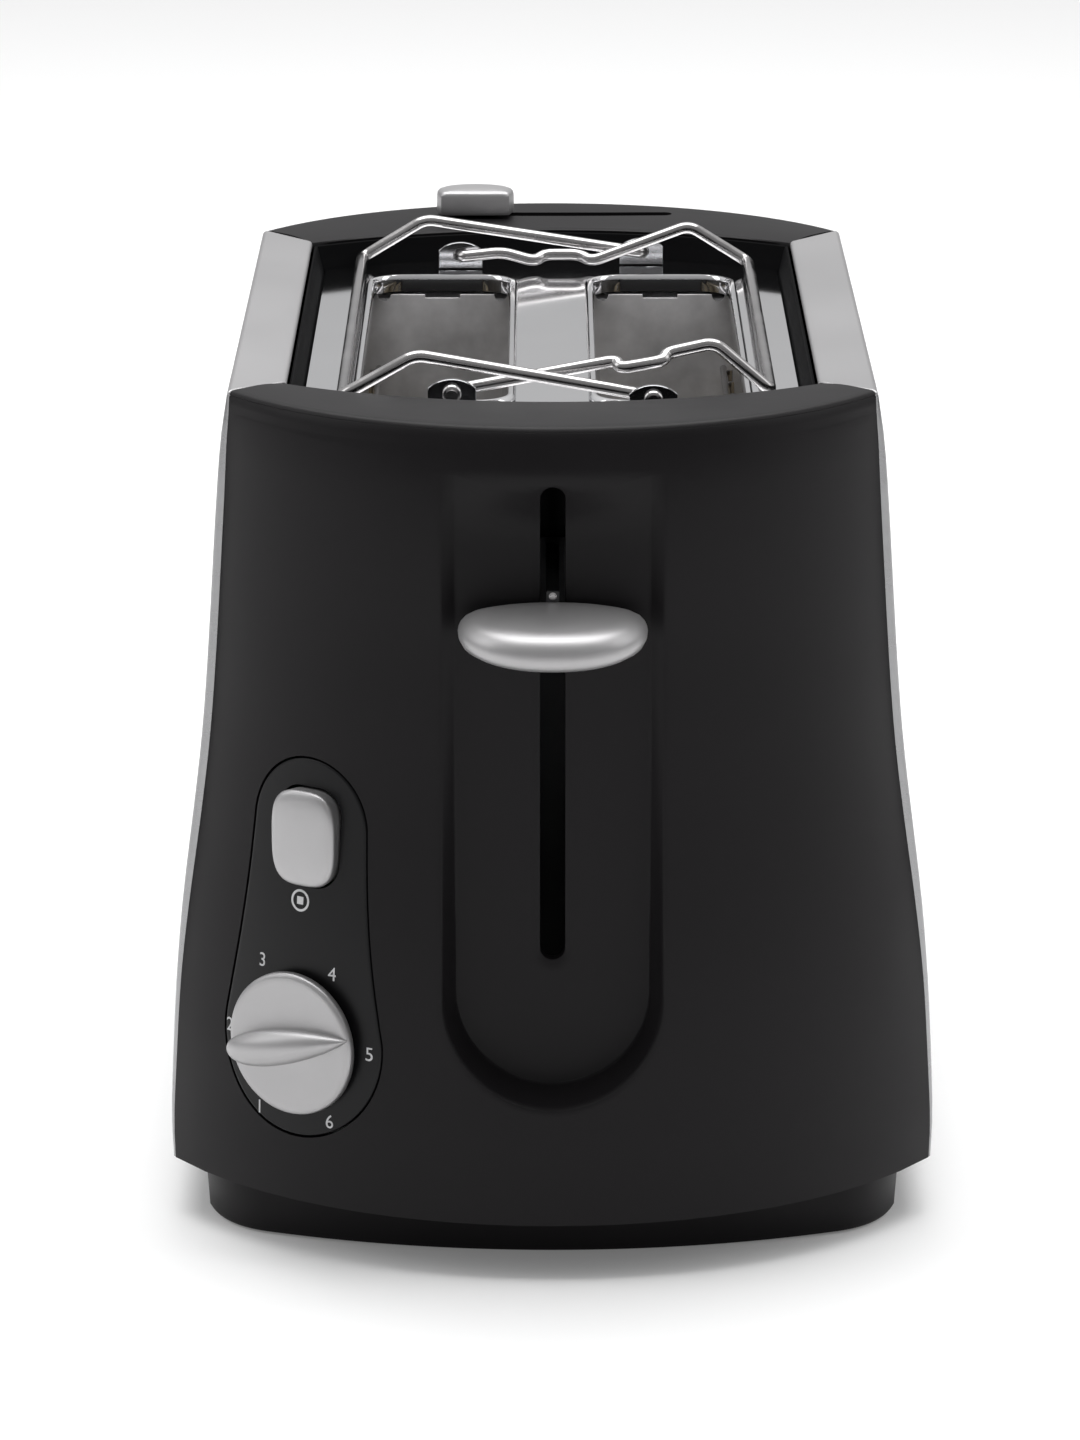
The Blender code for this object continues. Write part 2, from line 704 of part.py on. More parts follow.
def make_guards(holders):
    """Wire cages that close on the bread as the carriage goes down."""
    bars = 9
    pitch = (2 * GUARD_HALF_Y - 2) / (bars - 1)
    y_lines = []
    for i in range(bars):
        y = -GUARD_HALF_Y + 1 + i * pitch
        y_lines += [y - 1, y + 1]
    z_lines = (GUARD_Z[0], GUARD_Z[0] + 2, 106, 108, GUARD_Z[1] - 2, GUARD_Z[1])
    for name, holder in holders.items():
        x = holder.location.x * 1000
        node("bread_" + name, lattice((x - 1, x + 1), y_lines, z_lines), "chrome_wire", holder)


def make_carriage(body, housing):
    """Lever, bracket and bread lifters, which slide on the guide rod."""
    front = -BRACKET_Y
    bracket = node("carriage_bracket", box((-34, 34), (front - SHEET / 2, front + SHEET / 2), (106, 160)),
                   "galvanised_steel", body)
    x, y = ROD_XY
    join(bracket, box((x - 5, x + 5), (y - 5, front), (110, 150)))
    cut(bracket, turned(((ROD_R + 0.4, 100), (ROD_R + 0.4, 170)), (x, y, 0), sides=12))
    arm = box((-1.5, 1.5), (-KNOB_BACK_Y + 0.4, front - SHEET / 2 - GAP), (LEVER_Z - 3.5, LEVER_Z + 3.5))
    node("lever_arm", arm, "galvanised_steel", body)
    armature = box((-32, -12), (-103, front - SHEET / 2 - GAP), (149, 152))
    node("armature_plate", armature, "galvanised_steel", body)
    for name, side in (("bread_lifter_left", -1), ("bread_lifter_right", 1)):
        x = side * SLOT_X
        lifter = node(name, box((x - 4.5, x + 4.5), (-68, 68), (LIFTER_Z - 1.2, LIFTER_Z)),
                      "galvanised_steel", body)
        join(lifter, box((x - 0.5, x + 0.5), (front + SHEET / 2 + GAP, 76), (LIFTER_Z - 10, LIFTER_Z - 0.6)))
    x, y = ROD_XY
    rod = turned(((ROD_R, CHASSIS_Z[1] + GAP), (ROD_R, END_PLATE_TOP - 2 * SHEET - GAP)), (x, y, 0))
    node("guide_rod", rod, "polished_steel", housing)
    coil = []
    low, high = SPRING_Z
    per_turn = 8
    for i in range(SPRING_TURNS * per_turn + 1):
        angle = 2 * math.pi * i / per_turn
        height = low + (high - 2 - low) * i / (SPRING_TURNS * per_turn)
        coil.append((SPRING_XY[0] + 3 * math.cos(angle), SPRING_XY[1] + 3 * math.sin(angle), height))
    node("lift_spring", tube(coil, 0.5, 5), "galvanised_steel", housing)


def make_electrics(body, frame):
    board = box((-72, -14), (-106.8, -105.2), (26, 122))
    node("circuit_board", board, "circuit", body)
    magnet = node("electromagnet", box((-31, -13), (-101, -93), (52, 70.6)), "galvanised_steel", body)
    join(magnet, turned(((7.5, 55), (7.5, 66)), (-22, -97, 0), sides=16))
    pot = turned(((8.0, -14), (8.0, -6)), frame.origin, frame.outward)
    node("potentiometer", pot, "black_steel", body)
    a, b = BUTTON_AB
    level = frame.surface(a, b)
    switch = frame.block(rounded_rectangle(4, 5, 0.5, 2, (a, b)), level - 17, level - 11.6)
    node("stop_switch", switch, "black_steel", body)


# Controls

def make_lever_knob(body):
    """Shell-shaped paddle: flat ellipse, deeper in front than behind, its top sloping forward."""
    count = 28
    rings = []
    levels = ((0.80, 151.0, 147.8), (0.96, 152.2, 148.6), (1.0, 154.5, 151.0), (0.97, 157.5, 154.2),
              (0.80, 160.0, 156.6))
    for scale, lift_back, lift_front in levels:
        ring = []
        for i in range(count):
            angle = 2 * math.pi * i / count
            reach = KNOB_FRONT_Y - KNOB_WAIST_Y if math.sin(angle) > 0 else KNOB_WAIST_Y - KNOB_BACK_Y
            y = KNOB_WAIST_Y + scale * reach * math.sin(angle)
            share = (y - KNOB_BACK_Y) / (KNOB_FRONT_Y - KNOB_BACK_Y)
            z = lift_back + (lift_front - lift_back) * share
            ring.append((scale * KNOB_HALF * math.cos(angle), -y, z))
        rings.append(ring)
    node("lever_knob", loft(rings), "silver_trim", body)


def make_stop_button(body, frame):
    a, b = BUTTON_AB
    level = frame.surface(a, b)
    rings = []
    for shrink, height in ((0, -3.0), (0, 2.2), (0.8, 3.0), (3.0, 3.6)):
        outline = rounded_rectangle(BUTTON_HALF[0] - shrink, BUTTON_HALF[1] - shrink, 6 - shrink, 4, (a, b))
        rings.append([frame.at(p, q, level + height) for p, q in outline])
    button = node("stop_button", loft(rings), "silver_trim", body)
    stem = turned(((3.0, level - 9), (3.0, level)), frame.at(a, b, 0), frame.outward, 12)
    join(button, stem)


def make_browning_knob(body, frame):
    disc = ((DIAL_R - 0.6, 0.8), (DIAL_R, 1.3), (DIAL_R, 2.5), (DIAL_R - 1.0, 3.3))
    knob = node("browning_knob", turned(disc, frame.origin, frame.outward, 32), "silver_trim", body)
    right = frame.right * math.cos(DIAL_POINTER) + Vector((0, 0, math.sin(DIAL_POINTER)))
    up = Vector((0, 0, math.cos(DIAL_POINTER))) - frame.right * math.sin(DIAL_POINTER)
    grip = ((-17.4, 1.4, 6.6), (-14.5, 3.2, 8.6), (-5.0, 4.0, 9.4), (7.0, 2.9, 7.6), (16.6, 0.5, 3.9))
    rings = []
    for along, half, height in grip:
        ring = []
        for side, c in ((-1, 2.4), (1, 2.4), (0.6, height), (-0.6, height)):
            ring.append(frame.origin + right * along + up * side * half + frame.outward * c)
        rings.append(ring)
    join(knob, loft(rings))
    shaft = turned(((3.0, -5.7), (3.0, 0.5)), frame.origin, frame.outward, 12)
    node("dial_shaft", shaft, "galvanised_steel", body)


# Bun rack

def rack_bracket(x, y):
    """Upright tab with a shallow round top and a bore for the wire's end."""
    foot, shoulder, top = RACK_BRACKET_Z
    half = RACK_BRACKET_HALF
    steps = 6
    corners = [(half, shoulder)]
    for i in range(1, steps):
        reach = half * (1 - 2 * i / steps)
        corners.append((reach, shoulder + arc_height(reach, half, top - shoulder)))
    corners += [(-half, shoulder), (-half, foot), (half, foot)]
    outer = []
    bore = []
    for (x0, z0), (x1, z1) in zip(corners, corners[1:] + corners[:1]):
        parts = math.ceil(math.hypot(x1 - x0, z1 - z0) / 1.7)
        for k in range(parts):
            px = x0 + (x1 - x0) * k / parts
            pz = z0 + (z1 - z0) * k / parts
            away = Vector((px, pz - PIVOT_Z)).normalized() * (WIRE_R + 0.4)
            outer.append((x + px, pz))
            bore.append((x + away.x, PIVOT_Z + away.y))
    rings = []
    for outline, side in ((outer, -0.7), (outer, 0.7), (bore, 0.7), (bore, -0.7)):
        rings.append([(px, y + side, pz) for px, pz in outline])
    return loft(rings, loop=True)


def make_rack(housing, left, right, slide):
    for name, place in RACK_BRACKETS.items():
        node("rack_bracket_" + name, rack_bracket(*place), "polished_steel", housing)
    front, rear = -88.6, 92.8
    path = [(PIVOT_X, -97.5, PIVOT_Z), (PIVOT_X, front, PIVOT_Z), (-31.9, front, 205.6),
            (-49.0, front, 196.0), (-49.2, rear, 194.5), (-32.7, rear, 204.5),
            (PIVOT_X, rear, PIVOT_Z), (PIVOT_X, 98.5, PIVOT_Z)]
    node("rack_frame_left", tube(rounded_path(path, 2.4), WIRE_R), "chrome_wire", left)
    front, rear = -82.1, 86.7
    jog_front, jog_rear = -85.2, 89.2
    path = [(-PIVOT_X, -89.5, PIVOT_Z), (-PIVOT_X, front, PIVOT_Z), (14.6, front, 202.9),
            (16.2, jog_front, 201.8), (25.5, jog_front, 203.4), (27.1, front, 204.8),
            (37.9, front, 207.2), (51.0, front, 196.0), (51.0, rear, 194.5), (35.7, rear, 204.0),
            (10.5, rear, 194.6), (7.3, jog_rear, 196.0), (-1.8, jog_rear, 196.0),
            (-4.2, rear, 194.6), (-12.7, rear, 197.0), (-PIVOT_X, rear, PIVOT_Z),
            (-PIVOT_X, 92.5, PIVOT_Z)]
    node("rack_frame_right", tube(rounded_path(path, 2.4), WIRE_R), "chrome_wire", right)
    x, y = RACK_KNOB_X, RACK_SLOT_Y
    outline = [(x - 9.0, y - 6.7), (x + 9.0, y - 6.7)]
    for i in range(9):
        angle = math.pi * i / 8
        outline.append((x + 10.2 * math.cos(angle), y + 7.0 * math.sin(angle)))
    node("rack_knob", prism(outline, *RACK_KNOB_Z), "silver_trim", slide)
    slider = node("rack_slider", box((x - 5, x + 5), (y - 1.8, y + 1.8), (193.0, 200.3)),
                  "black_steel", slide)
    join(slider, box((x - 10, x + 10), (y - 6, y + 3), (191.5, 194.0)))


def make_crumb_tray(body):
    section = ((0.0, FLOOR_Z + GAP), (0.0, 11.8), (1.0, 11.8), (1.0, FLOOR_Z + GAP + 1))
    rings = [[(x, y, z) for x, y in tray_outline(inward)] for inward, z in section]
    node("crumb_tray", loft(rings), "galvanised_steel", body)


def build_toaster():
    start_scene()
    frame = ControlFrame()
    housing = empty("toaster", (0, SET_BACK, 0))

    def body(name, location):
        return empty(name, location, housing)

    make_base(housing)
    make_caps(housing, frame)
    make_panels(housing)
    make_top(housing)
    make_chassis(housing)
    make_heaters(housing)
    make_electrics(housing, frame)
    carriage = body("carriage", (0, -BRACKET_Y, LEVER_Z))
    make_carriage(carriage, housing)
    make_lever_knob(carriage)
    guards = {}
    for name, side, offset in (("guard_left_outer", -1, 1), ("guard_left_inner", -1, -1),
                               ("guard_right_inner", 1, -1), ("guard_right_outer", 1, 1)):
        guards[name] = body(name, (side * (SLOT_X + offset * GUARD_OFFSET), 0, GUARD_Z[0]))
    make_guards(guards)
    make_stop_button(body("stop_control", frame.at(*BUTTON_AB, frame.surface(*BUTTON_AB))), frame)
    make_browning_knob(body("browning_control", frame.origin), frame)
    left = body("rack_left", (PIVOT_X, 0, PIVOT_Z))
    right = body("rack_right", (-PIVOT_X, 0, PIVOT_Z))
    slide = body("rack_slide", (RACK_KNOB_X, RACK_SLOT_Y, TOP_Z))
    make_rack(housing, left, right, slide)
    make_crumb_tray(body("tray", (0, TRAY_FRONT_Y, FLOOR_Z)))
    bpy.context.view_layer.update()


build_toaster()
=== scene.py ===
"""Looks of the pop-up toaster: fine surfaces, materials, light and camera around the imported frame.

Shapes are worked out in millimetres in the toaster's own frame, whose middle lies SET_BACK
behind the row's origin, and are stored in metres in the row frame.
"""
import math

import bmesh
import bpy
from mathutils import Euler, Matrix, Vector


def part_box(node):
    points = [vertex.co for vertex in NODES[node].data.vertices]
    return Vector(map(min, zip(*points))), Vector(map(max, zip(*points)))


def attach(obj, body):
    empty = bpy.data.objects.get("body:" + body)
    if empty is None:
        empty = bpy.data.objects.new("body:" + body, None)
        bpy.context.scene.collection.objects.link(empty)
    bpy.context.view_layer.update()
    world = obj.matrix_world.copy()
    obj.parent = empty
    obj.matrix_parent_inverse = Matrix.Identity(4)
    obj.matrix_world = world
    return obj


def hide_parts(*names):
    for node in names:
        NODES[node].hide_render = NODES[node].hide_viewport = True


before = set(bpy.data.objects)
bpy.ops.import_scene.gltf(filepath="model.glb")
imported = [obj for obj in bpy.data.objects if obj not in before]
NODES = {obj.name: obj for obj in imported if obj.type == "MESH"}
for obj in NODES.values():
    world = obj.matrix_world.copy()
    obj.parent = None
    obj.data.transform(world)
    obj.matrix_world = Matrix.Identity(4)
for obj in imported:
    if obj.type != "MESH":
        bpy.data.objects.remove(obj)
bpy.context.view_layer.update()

PANEL_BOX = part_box("left_panel")
SET_BACK = (PANEL_BOX[0][1] + PANEL_BOX[1][1]) * 500
TOP_Z = PANEL_BOX[1][2] * 1000
SKIRT_Z = PANEL_BOX[0][2] * 1000
CORNER_Y = (PANEL_BOX[1][1] - PANEL_BOX[0][1]) * 500
MOUTH_X = -PANEL_BOX[1][0] * 1000
HALF_WIDTH = -PANEL_BOX[0][0] * 1000
PLATE_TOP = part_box("top_plate")[1][2] * 1000

GAP = 0.3
SIDE_PROFILE = ((13.6, 90.2), (25, 90.6), (70, 88.0), (121, 81.9), (186, 77.2), (200, 75.1))
# How far the side panels stand out beyond the caps, by height
PROUD_PROFILE = ((13.6, 0.5), (38, 0.9), (58, 1.1), (77, 1.65), (97, 2.0), (155, 2.0), (174, 1.9),
                 (186, 1.6), (193, 1.2), (200, 0.4))
SHOULDER_R = 1.5
SHOULDER_X = 73.9
CAP_BOW_TOP = 41.0
CAP_BOW_BOTTOM = 50.0
CAP_SWELL = 1.6
CAP_WALL = 2.2
MOUTH_Y = 89.0
MOUTH_BOW = 20.0
BAND_Z = 198.9
CROWN = ((0.0, 196.6), (0.02, 198.5), (0.22, 198.85), (0.12, 199.05), (0.3, 199.55), (0.8, 199.88),
         (2.0, 199.98), (4.5, 200.0))

CHANNEL_Y = 140.5
CHANNEL_HALF = 22.2
CHANNEL_Z = (67.0, 189.0)
CHANNEL_TOP = 0.12
BORDER_TOP_Z = 195.0
CHANNEL_FADE_Z = (176.0, 190.5)
SLOT_HALF = 2.85
SLOT_Z = (77.25, 183.75)

DIAL_X = -59.4
DIAL_Z = 52.3
DIAL_YAW = math.radians(33)
DIAL_R = 17.0
DIAL_POINTER = math.radians(12.3)
NUMBER_R = 20.4
NUMBER_AB = (-0.75, -0.35)
STOP_MARK_AB = (-0.3, 33.4)
BUTTON_AB = (1.1, 48.6)
BUTTON_HALF = (8.7, 11.4)
INSERT_LOW_R = 22.6
INSERT_HIGH_R = 16.2
INSERT_HIGH_AB = (0.7, 50.6)
INSERT_SEAM = 0.45
INSERT_WALL = 2.4

BREAD_X = 28.0
BREAD_Y = -4.1
RIM_HALF = (17.25, 77.3)
RIM_R = 7.5
END_PLATE_TOP = 188.6
PLATE_SHEET = 1.2
GUARD_OFFSET = 16.4
GUARD_WIRE_Z = 169.5

KNOB_BACK_Y = 141.5
KNOB_FRONT_Y = 166.0
KNOB_WAIST_Y = 147.0
KNOB_HALF = 21.5

PIVOT_X = 23.5
PIVOT_Z = 195.8
WIRE_R = 1.5
WIRE_BEND = 2.6
RACK_BRACKETS = {"front_left": (-23.5, -84.6), "rear_left": (-23.5, 89.9),
                 "front_right": (23.5, -91.3), "rear_right": (23.5, 95.4)}
BRACKET_HALF = 5.65
BRACKET_Z = (PLATE_TOP + 0.3, 197.0, 199.1)
RACK_SLOT_Y = 126.0
RACK_KNOB_X = -20.0


# Materials

def shader_of(name, colour, roughness, metallic=0.0):
    made = bpy.data.materials.new(name)
    made.use_nodes = True
    shader = made.node_tree.nodes["Principled BSDF"]
    shader.inputs["Base Color"].default_value = (*colour, 1.0)
    shader.inputs["Roughness"].default_value = roughness
    shader.inputs["Metallic"].default_value = metallic
    return made, shader


def noise(tree, scale, detail=3.0, stretch=(1, 1, 1), rough=0.55):
    """Noise over the piece's own coordinates; scale counts features per metre."""
    place = tree.nodes.new("ShaderNodeTexCoord")
    mapping = tree.nodes.new("ShaderNodeMapping")
    mapping.inputs["Scale"].default_value = stretch
    texture = tree.nodes.new("ShaderNodeTexNoise")
    texture.inputs["Scale"].default_value = scale
    texture.inputs["Detail"].default_value = detail
    texture.inputs["Roughness"].default_value = rough
    tree.links.new(place.outputs["Object"], mapping.inputs["Vector"])
    tree.links.new(mapping.outputs["Vector"], texture.inputs["Vector"])
    return texture.outputs["Fac"]


def spread(tree, value, low, high):
    """Maps the middle of a noise to a range."""
    ranged = tree.nodes.new("ShaderNodeMapRange")
    ranged.inputs["From Min"].default_value = 0.3
    ranged.inputs["From Max"].default_value = 0.7
    ranged.inputs["To Min"].default_value = low
    ranged.inputs["To Max"].default_value = high
    tree.links.new(value, ranged.inputs["Value"])
    return ranged.outputs["Result"]


def tint(tree, value, dark, light):
    ramp = tree.nodes.new("ShaderNodeValToRGB")
    ramp.color_ramp.elements[0].position = 0.3
    ramp.color_ramp.elements[1].position = 0.7
    ramp.color_ramp.elements[0].color = (*dark, 1.0)
    ramp.color_ramp.elements[1].color = (*light, 1.0)
    tree.links.new(value, ramp.inputs["Fac"])
    return ramp.outputs["Color"]


def finish(name, colour, roughness, metallic=0.0, grain=900, grain_depth=0.00003, patch=25,
           patch_tint=0.12, patch_rough=0.06, stretch=(1, 1, 1), specular=0.5, coat=0.0,
           coat_roughness=0.1):
    """Finish with a fine grain in its bump and slow patches in its colour and roughness."""
    made, shader = shader_of(name, colour, roughness, metallic)
    tree = made.node_tree
    slow = noise(tree, patch, 4.0)
    dark = tuple(c * (1 - patch_tint) for c in colour)
    light = tuple(min(c * (1 + patch_tint), 1.0) for c in colour)
    tree.links.new(tint(tree, slow, dark, light), shader.inputs["Base Color"])
    tree.links.new(spread(tree, slow, roughness - patch_rough, roughness + patch_rough),
                   shader.inputs["Roughness"])
    fine = noise(tree, grain, 2.0, stretch)
    bump = tree.nodes.new("ShaderNodeBump")
    bump.inputs["Strength"].default_value = 0.6
    bump.inputs["Distance"].default_value = grain_depth
    tree.links.new(fine, bump.inputs["Height"])
    tree.links.new(bump.outputs["Normal"], shader.inputs["Normal"])
    shader.inputs["Specular IOR Level"].default_value = specular
    shader.inputs["Coat Weight"].default_value = coat
    shader.inputs["Coat Roughness"].default_value = coat_roughness
    return made


def flat_print(name, colour):
    """Printed ink: nearly flat, with the grain of the plastic below it."""
    return finish(name, colour, 0.5, grain=2500, grain_depth=0.00001, patch=300, patch_tint=0.06)


MATERIALS = {
    "black_plastic": finish("black_plastic", (0.0068, 0.0060, 0.0068), 0.46, grain=2600,
                            grain_depth=0.00002, patch=14, patch_tint=0.2, specular=0.16),
    "gloss_black": finish("gloss_black", (0.0045, 0.0044, 0.0050), 0.33, grain=2600,
                          grain_depth=0.000012, patch=20, patch_tint=0.15, specular=0.2),
    "well_black": finish("well_black", (0.004, 0.004, 0.0044), 0.7, grain=1800, specular=0.03),
    "silver_paint": finish("silver_paint", (0.46, 0.455, 0.46), 0.38, 0.9, grain=3200,
                           grain_depth=0.000012, patch=9, patch_tint=0.03, patch_rough=0.04,
                           stretch=(1, 0.08, 1)),
    # Darker copy of the panel silver for the rolled ends: a glossier edge finish, with its darker colour
    # painted shade where the panel turns away.
    "silver_edge_with_painted_shade": finish("silver_edge_with_painted_shade", (0.34, 0.34, 0.345), 0.30, 1.0, grain=1200,
                          grain_depth=0.00004, patch=120, patch_tint=0.12, patch_rough=0.08),
    "silver_trim": finish("silver_trim", (0.40, 0.395, 0.40), 0.40, 0.75, grain=3500,
                          grain_depth=0.000015, patch=40, patch_tint=0.04, patch_rough=0.03),
    "mirror_steel": finish("mirror_steel", (0.80, 0.80, 0.81), 0.07, 1.0, grain=700,
                           grain_depth=0.000004, patch=18, patch_tint=0.03, patch_rough=0.025,
                           stretch=(1, 0.1, 1)),
    "chrome_wire": finish("chrome_wire", (0.44, 0.43, 0.43), 0.20, 1.0, grain=500,
                          grain_depth=0.00002, patch=90, patch_tint=0.08, patch_rough=0.06),
    "galvanised": finish("galvanised", (0.36, 0.36, 0.365), 0.38, 1.0, grain=900,
                         grain_depth=0.00003, patch=60, patch_tint=0.14, patch_rough=0.08),
    # Light grey steel for the rear chassis plate: its brightness is painted light, standing in for light
    # reaching the far ends of the slots.
    "steel_painted_light": finish("steel_painted_light", (0.74, 0.73, 0.74), 0.5, 0.2, grain=900, grain_depth=0.00003,
                        patch=70, patch_tint=0.22, patch_rough=0.08),
    # Near-black steel for the front chassis plate, lever neck and carriage parts: painted shade,
    # standing in for the dark of the lever slot and the inside of the body.
    "steel_painted_shade": finish("steel_painted_shade", (0.05, 0.05, 0.052), 0.55, 0.4, grain=900, grain_depth=0.00003,
                         patch=60, patch_tint=0.2),
    "black_steel": finish("black_steel", (0.006, 0.006, 0.006), 0.3, 0.0, grain=1500, specular=0.4),
    "mica": finish("mica", (0.33, 0.28, 0.20), 0.5, grain=400, grain_depth=0.0001, patch=80,
                   patch_tint=0.25, patch_rough=0.12),
    "heating_wire": finish("heating_wire", (0.17, 0.15, 0.14), 0.45, 1.0, grain=900, patch=200,
                           patch_tint=0.25),
    "rubber": finish("rubber", (0.012, 0.012, 0.012), 0.75, grain=1500, grain_depth=0.00006,
                     specular=0.3),
    "circuit": finish("circuit", (0.02, 0.07, 0.035), 0.45, grain=600, patch=200, patch_tint=0.3),
    "tab_steel": finish("tab_steel", (0.34, 0.34, 0.35), 0.14, 1.0, grain=900, grain_depth=0.00001,
                        patch=150, patch_tint=0.06, patch_rough=0.04),
    "ink": flat_print("ink", (0.55, 0.55, 0.56)),
}


# Outlines

def ease(t):
    t = min(max(t, 0.0), 1.0)
    return t * t * (3 - 2 * t)


def through(points, t):
    """Smooth curve through (position, value) points that are sorted by position."""
    t = min(max(t, points[0][0]), points[-1][0])
    last = len(points) - 1
    i = max(k for k in range(last) if points[k][0] <= t or k == 0)

    def slope(k):
        a = points[max(k - 1, 0)]
        b = points[min(k + 1, last)]
        return (b[1] - a[1]) / (b[0] - a[0])

    (t0, v0), (t1, v1) = points[i], points[i + 1]
    span = t1 - t0
    s = (t - t0) / span
    rise = v0 * (2 * s**3 - 3 * s**2 + 1) + v1 * (3 * s**2 - 2 * s**3)
    return rise + span * (slope(i) * (s**3 - 2 * s**2 + s) + slope(i + 1) * (s**3 - s**2))


def side_width(z):
    return min(through(SIDE_PROFILE, z), HALF_WIDTH)


def cap_width(z):
    """Half-width of a cap, a little less than the panels'."""
    return side_width(z) - through(PROUD_PROFILE, z)


def cap_bow(z):
    flare = (side_width(z) - side_width(TOP_Z)) / (side_width(SKIRT_Z) - side_width(TOP_Z))
    return CAP_BOW_TOP + (CAP_BOW_BOTTOM - CAP_BOW_TOP) * min(flare, 1.0)


def arc_height(x, half, bow):
    radius = (half * half + bow * bow) / (2 * bow)
    return math.sqrt(max(radius * radius - x * x, 0.0)) - (radius - bow)


def cap_point(u, z, inward=0.0):
    """Point of a cap's outside: u runs from side to side, inward moves it in from the face."""
    half = cap_width(z) - inward
    x = u * half
    swell = CAP_SWELL * (ease((z - 140) / 44) - max(0.0, (z - 184) / 15) ** 2)
    y = CORNER_Y + GAP - inward + arc_height(x, half, cap_bow(z)) + (1 - u * u) * swell
    return x, y, z


def face_y(x, z):
    return cap_point(min(max(x / cap_width(z), -1.0), 1.0), z)[1]


def mouth_outline(inward, steps=40):
    """Edge of the top opening, drawn in by a distance."""
    half = MOUTH_X - inward
    points = []
    for i in range(steps + 1):
        x = half * (2 * i / steps - 1)
        points.append((x, -(MOUTH_Y - 0.3 * inward + arc_height(x, half, MOUTH_BOW - 0.7 * inward))))
    return points + [(-x, -y) for x, y in points]


def rounded_rectangle(half_x, half_y, radius, steps=8, centre=(0.0, 0.0)):
    points = []
    for corner, (sx, sy) in enumerate(((1, 1), (-1, 1), (-1, -1), (1, -1))):
        for i in range(steps + 1):
            angle = math.pi / 2 * (corner + i / steps)
            points.append((centre[0] + sx * (half_x - radius) + radius * math.cos(angle),
                           centre[1] + sy * (half_y - radius) + radius * math.sin(angle)))
    return points


def circle(radius, sides):
    turn = 2 * math.pi / sides
    return [(radius * math.cos(i * turn), radius * math.sin(i * turn)) for i in range(sides)]


def rounded_path(points, radius, steps=8):
    """The path with each inner corner replaced by a short curve."""
    path = [Vector(points[0])]
    for before, corner, after in zip(points, points[1:], points[2:]):
        before, corner, after = Vector(before), Vector(corner), Vector(after)
        reach_in = min(radius, 0.48 * (corner - before).length)
        reach_out = min(radius, 0.48 * (after - corner).length)
        a = corner + (before - corner).normalized() * reach_in
        b = corner + (after - corner).normalized() * reach_out
        for i in range(steps + 1):
            s = i / steps
            path.append(a * (1 - s) ** 2 + corner * 2 * s * (1 - s) + b * s * s)
    path.append(Vector(points[-1]))
    return path


# Mesh makers, in millimetres

def loft(rings, loop=False, filled=True):
    size = len(rings[0])
    vertices = [tuple(p) for ring in rings for p in ring]
    faces = []
    for r in range(len(rings) if loop else len(rings) - 1):
        a = r * size
        b = (r + 1) % len(rings) * size
        for i in range(size):
            j = (i + 1) % size
            faces.append((a + i, a + j, b + j, b + i))
    if not loop and filled:
        faces.append(tuple(reversed(range(size))))
        faces.append(tuple(range(len(vertices) - size, len(vertices))))
    return vertices, faces


def skin(rows):
    """Open surface through equal rows of points."""
    size = len(rows[0])
    vertices = [tuple(p) for row in rows for p in row]
    faces = []
    for r in range(len(rows) - 1):
        for i in range(size - 1):
            a = r * size + i
            faces.append((a, a + 1, a + size + 1, a + size))
    return vertices, faces


def prism(outline, low, high):
    return loft([[(x, y, z) for x, y in outline] for z in (low, high)])


def box(x, y, z):
    return prism([(x[0], y[0]), (x[1], y[0]), (x[1], y[1]), (x[0], y[1])], z[0], z[1])


def turned(profile, origin, axis, sides=32):
    axis = Vector(axis).normalized()
    across = axis.orthogonal().normalized()
    other = axis.cross(across)
    rings = []
    for radius, height in profile:
        rings.append([Vector(origin) + axis * height + across * a + other * b
                      for a, b in circle(radius, sides)])
    return loft(rings)


def tube(points, radius, sides=16):
    path = [Vector(p) for p in points]
    across = (path[1] - path[0]).orthogonal().normalized()
    rings = []
    for i, point in enumerate(path):
        ahead = (path[min(i + 1, len(path) - 1)] - path[max(i - 1, 0)]).normalized()
        across = (across - ahead * across.dot(ahead)).normalized()
        other = ahead.cross(across)
        rings.append([point + across * a + other * b for a, b in circle(radius, sides)])
    return loft(rings)


def merged(*shapes):
    """Several shapes as one set of vertices and faces."""
    vertices = []
    faces = []
    for more_vertices, more_faces in shapes:
        shift = len(vertices)
        vertices += more_vertices
        faces += [tuple(v + shift for v in face) for face in more_faces]
    return vertices, faces


# Pieces

def raw_object(name, shape, weld=0.0):
    vertices, faces = shape
    mesh = bpy.data.meshes.new(name)
    mesh.from_pydata([(x / 1000, (y + SET_BACK) / 1000, z / 1000) for x, y, z in vertices], [], faces)
    work = bmesh.new()
    work.from_mesh(mesh)
    if weld:
        bmesh.ops.remove_doubles(work, verts=work.verts, dist=weld)
    bmesh.ops.recalc_face_normals(work, faces=work.faces)
    work.to_mesh(mesh)
    work.free()
    item = bpy.data.objects.new(name, mesh)
    bpy.context.collection.objects.link(item)
    return item


def bake(item):
    """Apply the piece's modifiers to its mesh."""
    bpy.context.view_layer.update()
    depsgraph = bpy.context.evaluated_depsgraph_get()
    result = bpy.data.meshes.new_from_object(item.evaluated_get(depsgraph))
    item.modifiers.clear()
    item.data = result


def carve(item, shape, operation="DIFFERENCE"):
    tool = raw_object("tool", shape)
    change = item.modifiers.new("carve", "BOOLEAN")
    change.operation = operation
    change.solver = "EXACT"
    change.object = tool
    bake(item)
    bpy.data.objects.remove(tool, do_unlink=True)


def thicken(item, wall, outward_y):
    """Give an open skin its wall on the inner side; outward_y is the sign of its outside along Y."""
    mesh = item.data
    lean = sum(face.normal.y * face.area for face in mesh.polygons)
    if lean * outward_y < 0:
        mesh.flip_normals()
    change = item.modifiers.new("wall", "SOLIDIFY")
    change.thickness = wall / 1000
    change.offset = -1.0
    change.use_rim = True
    bake(item)


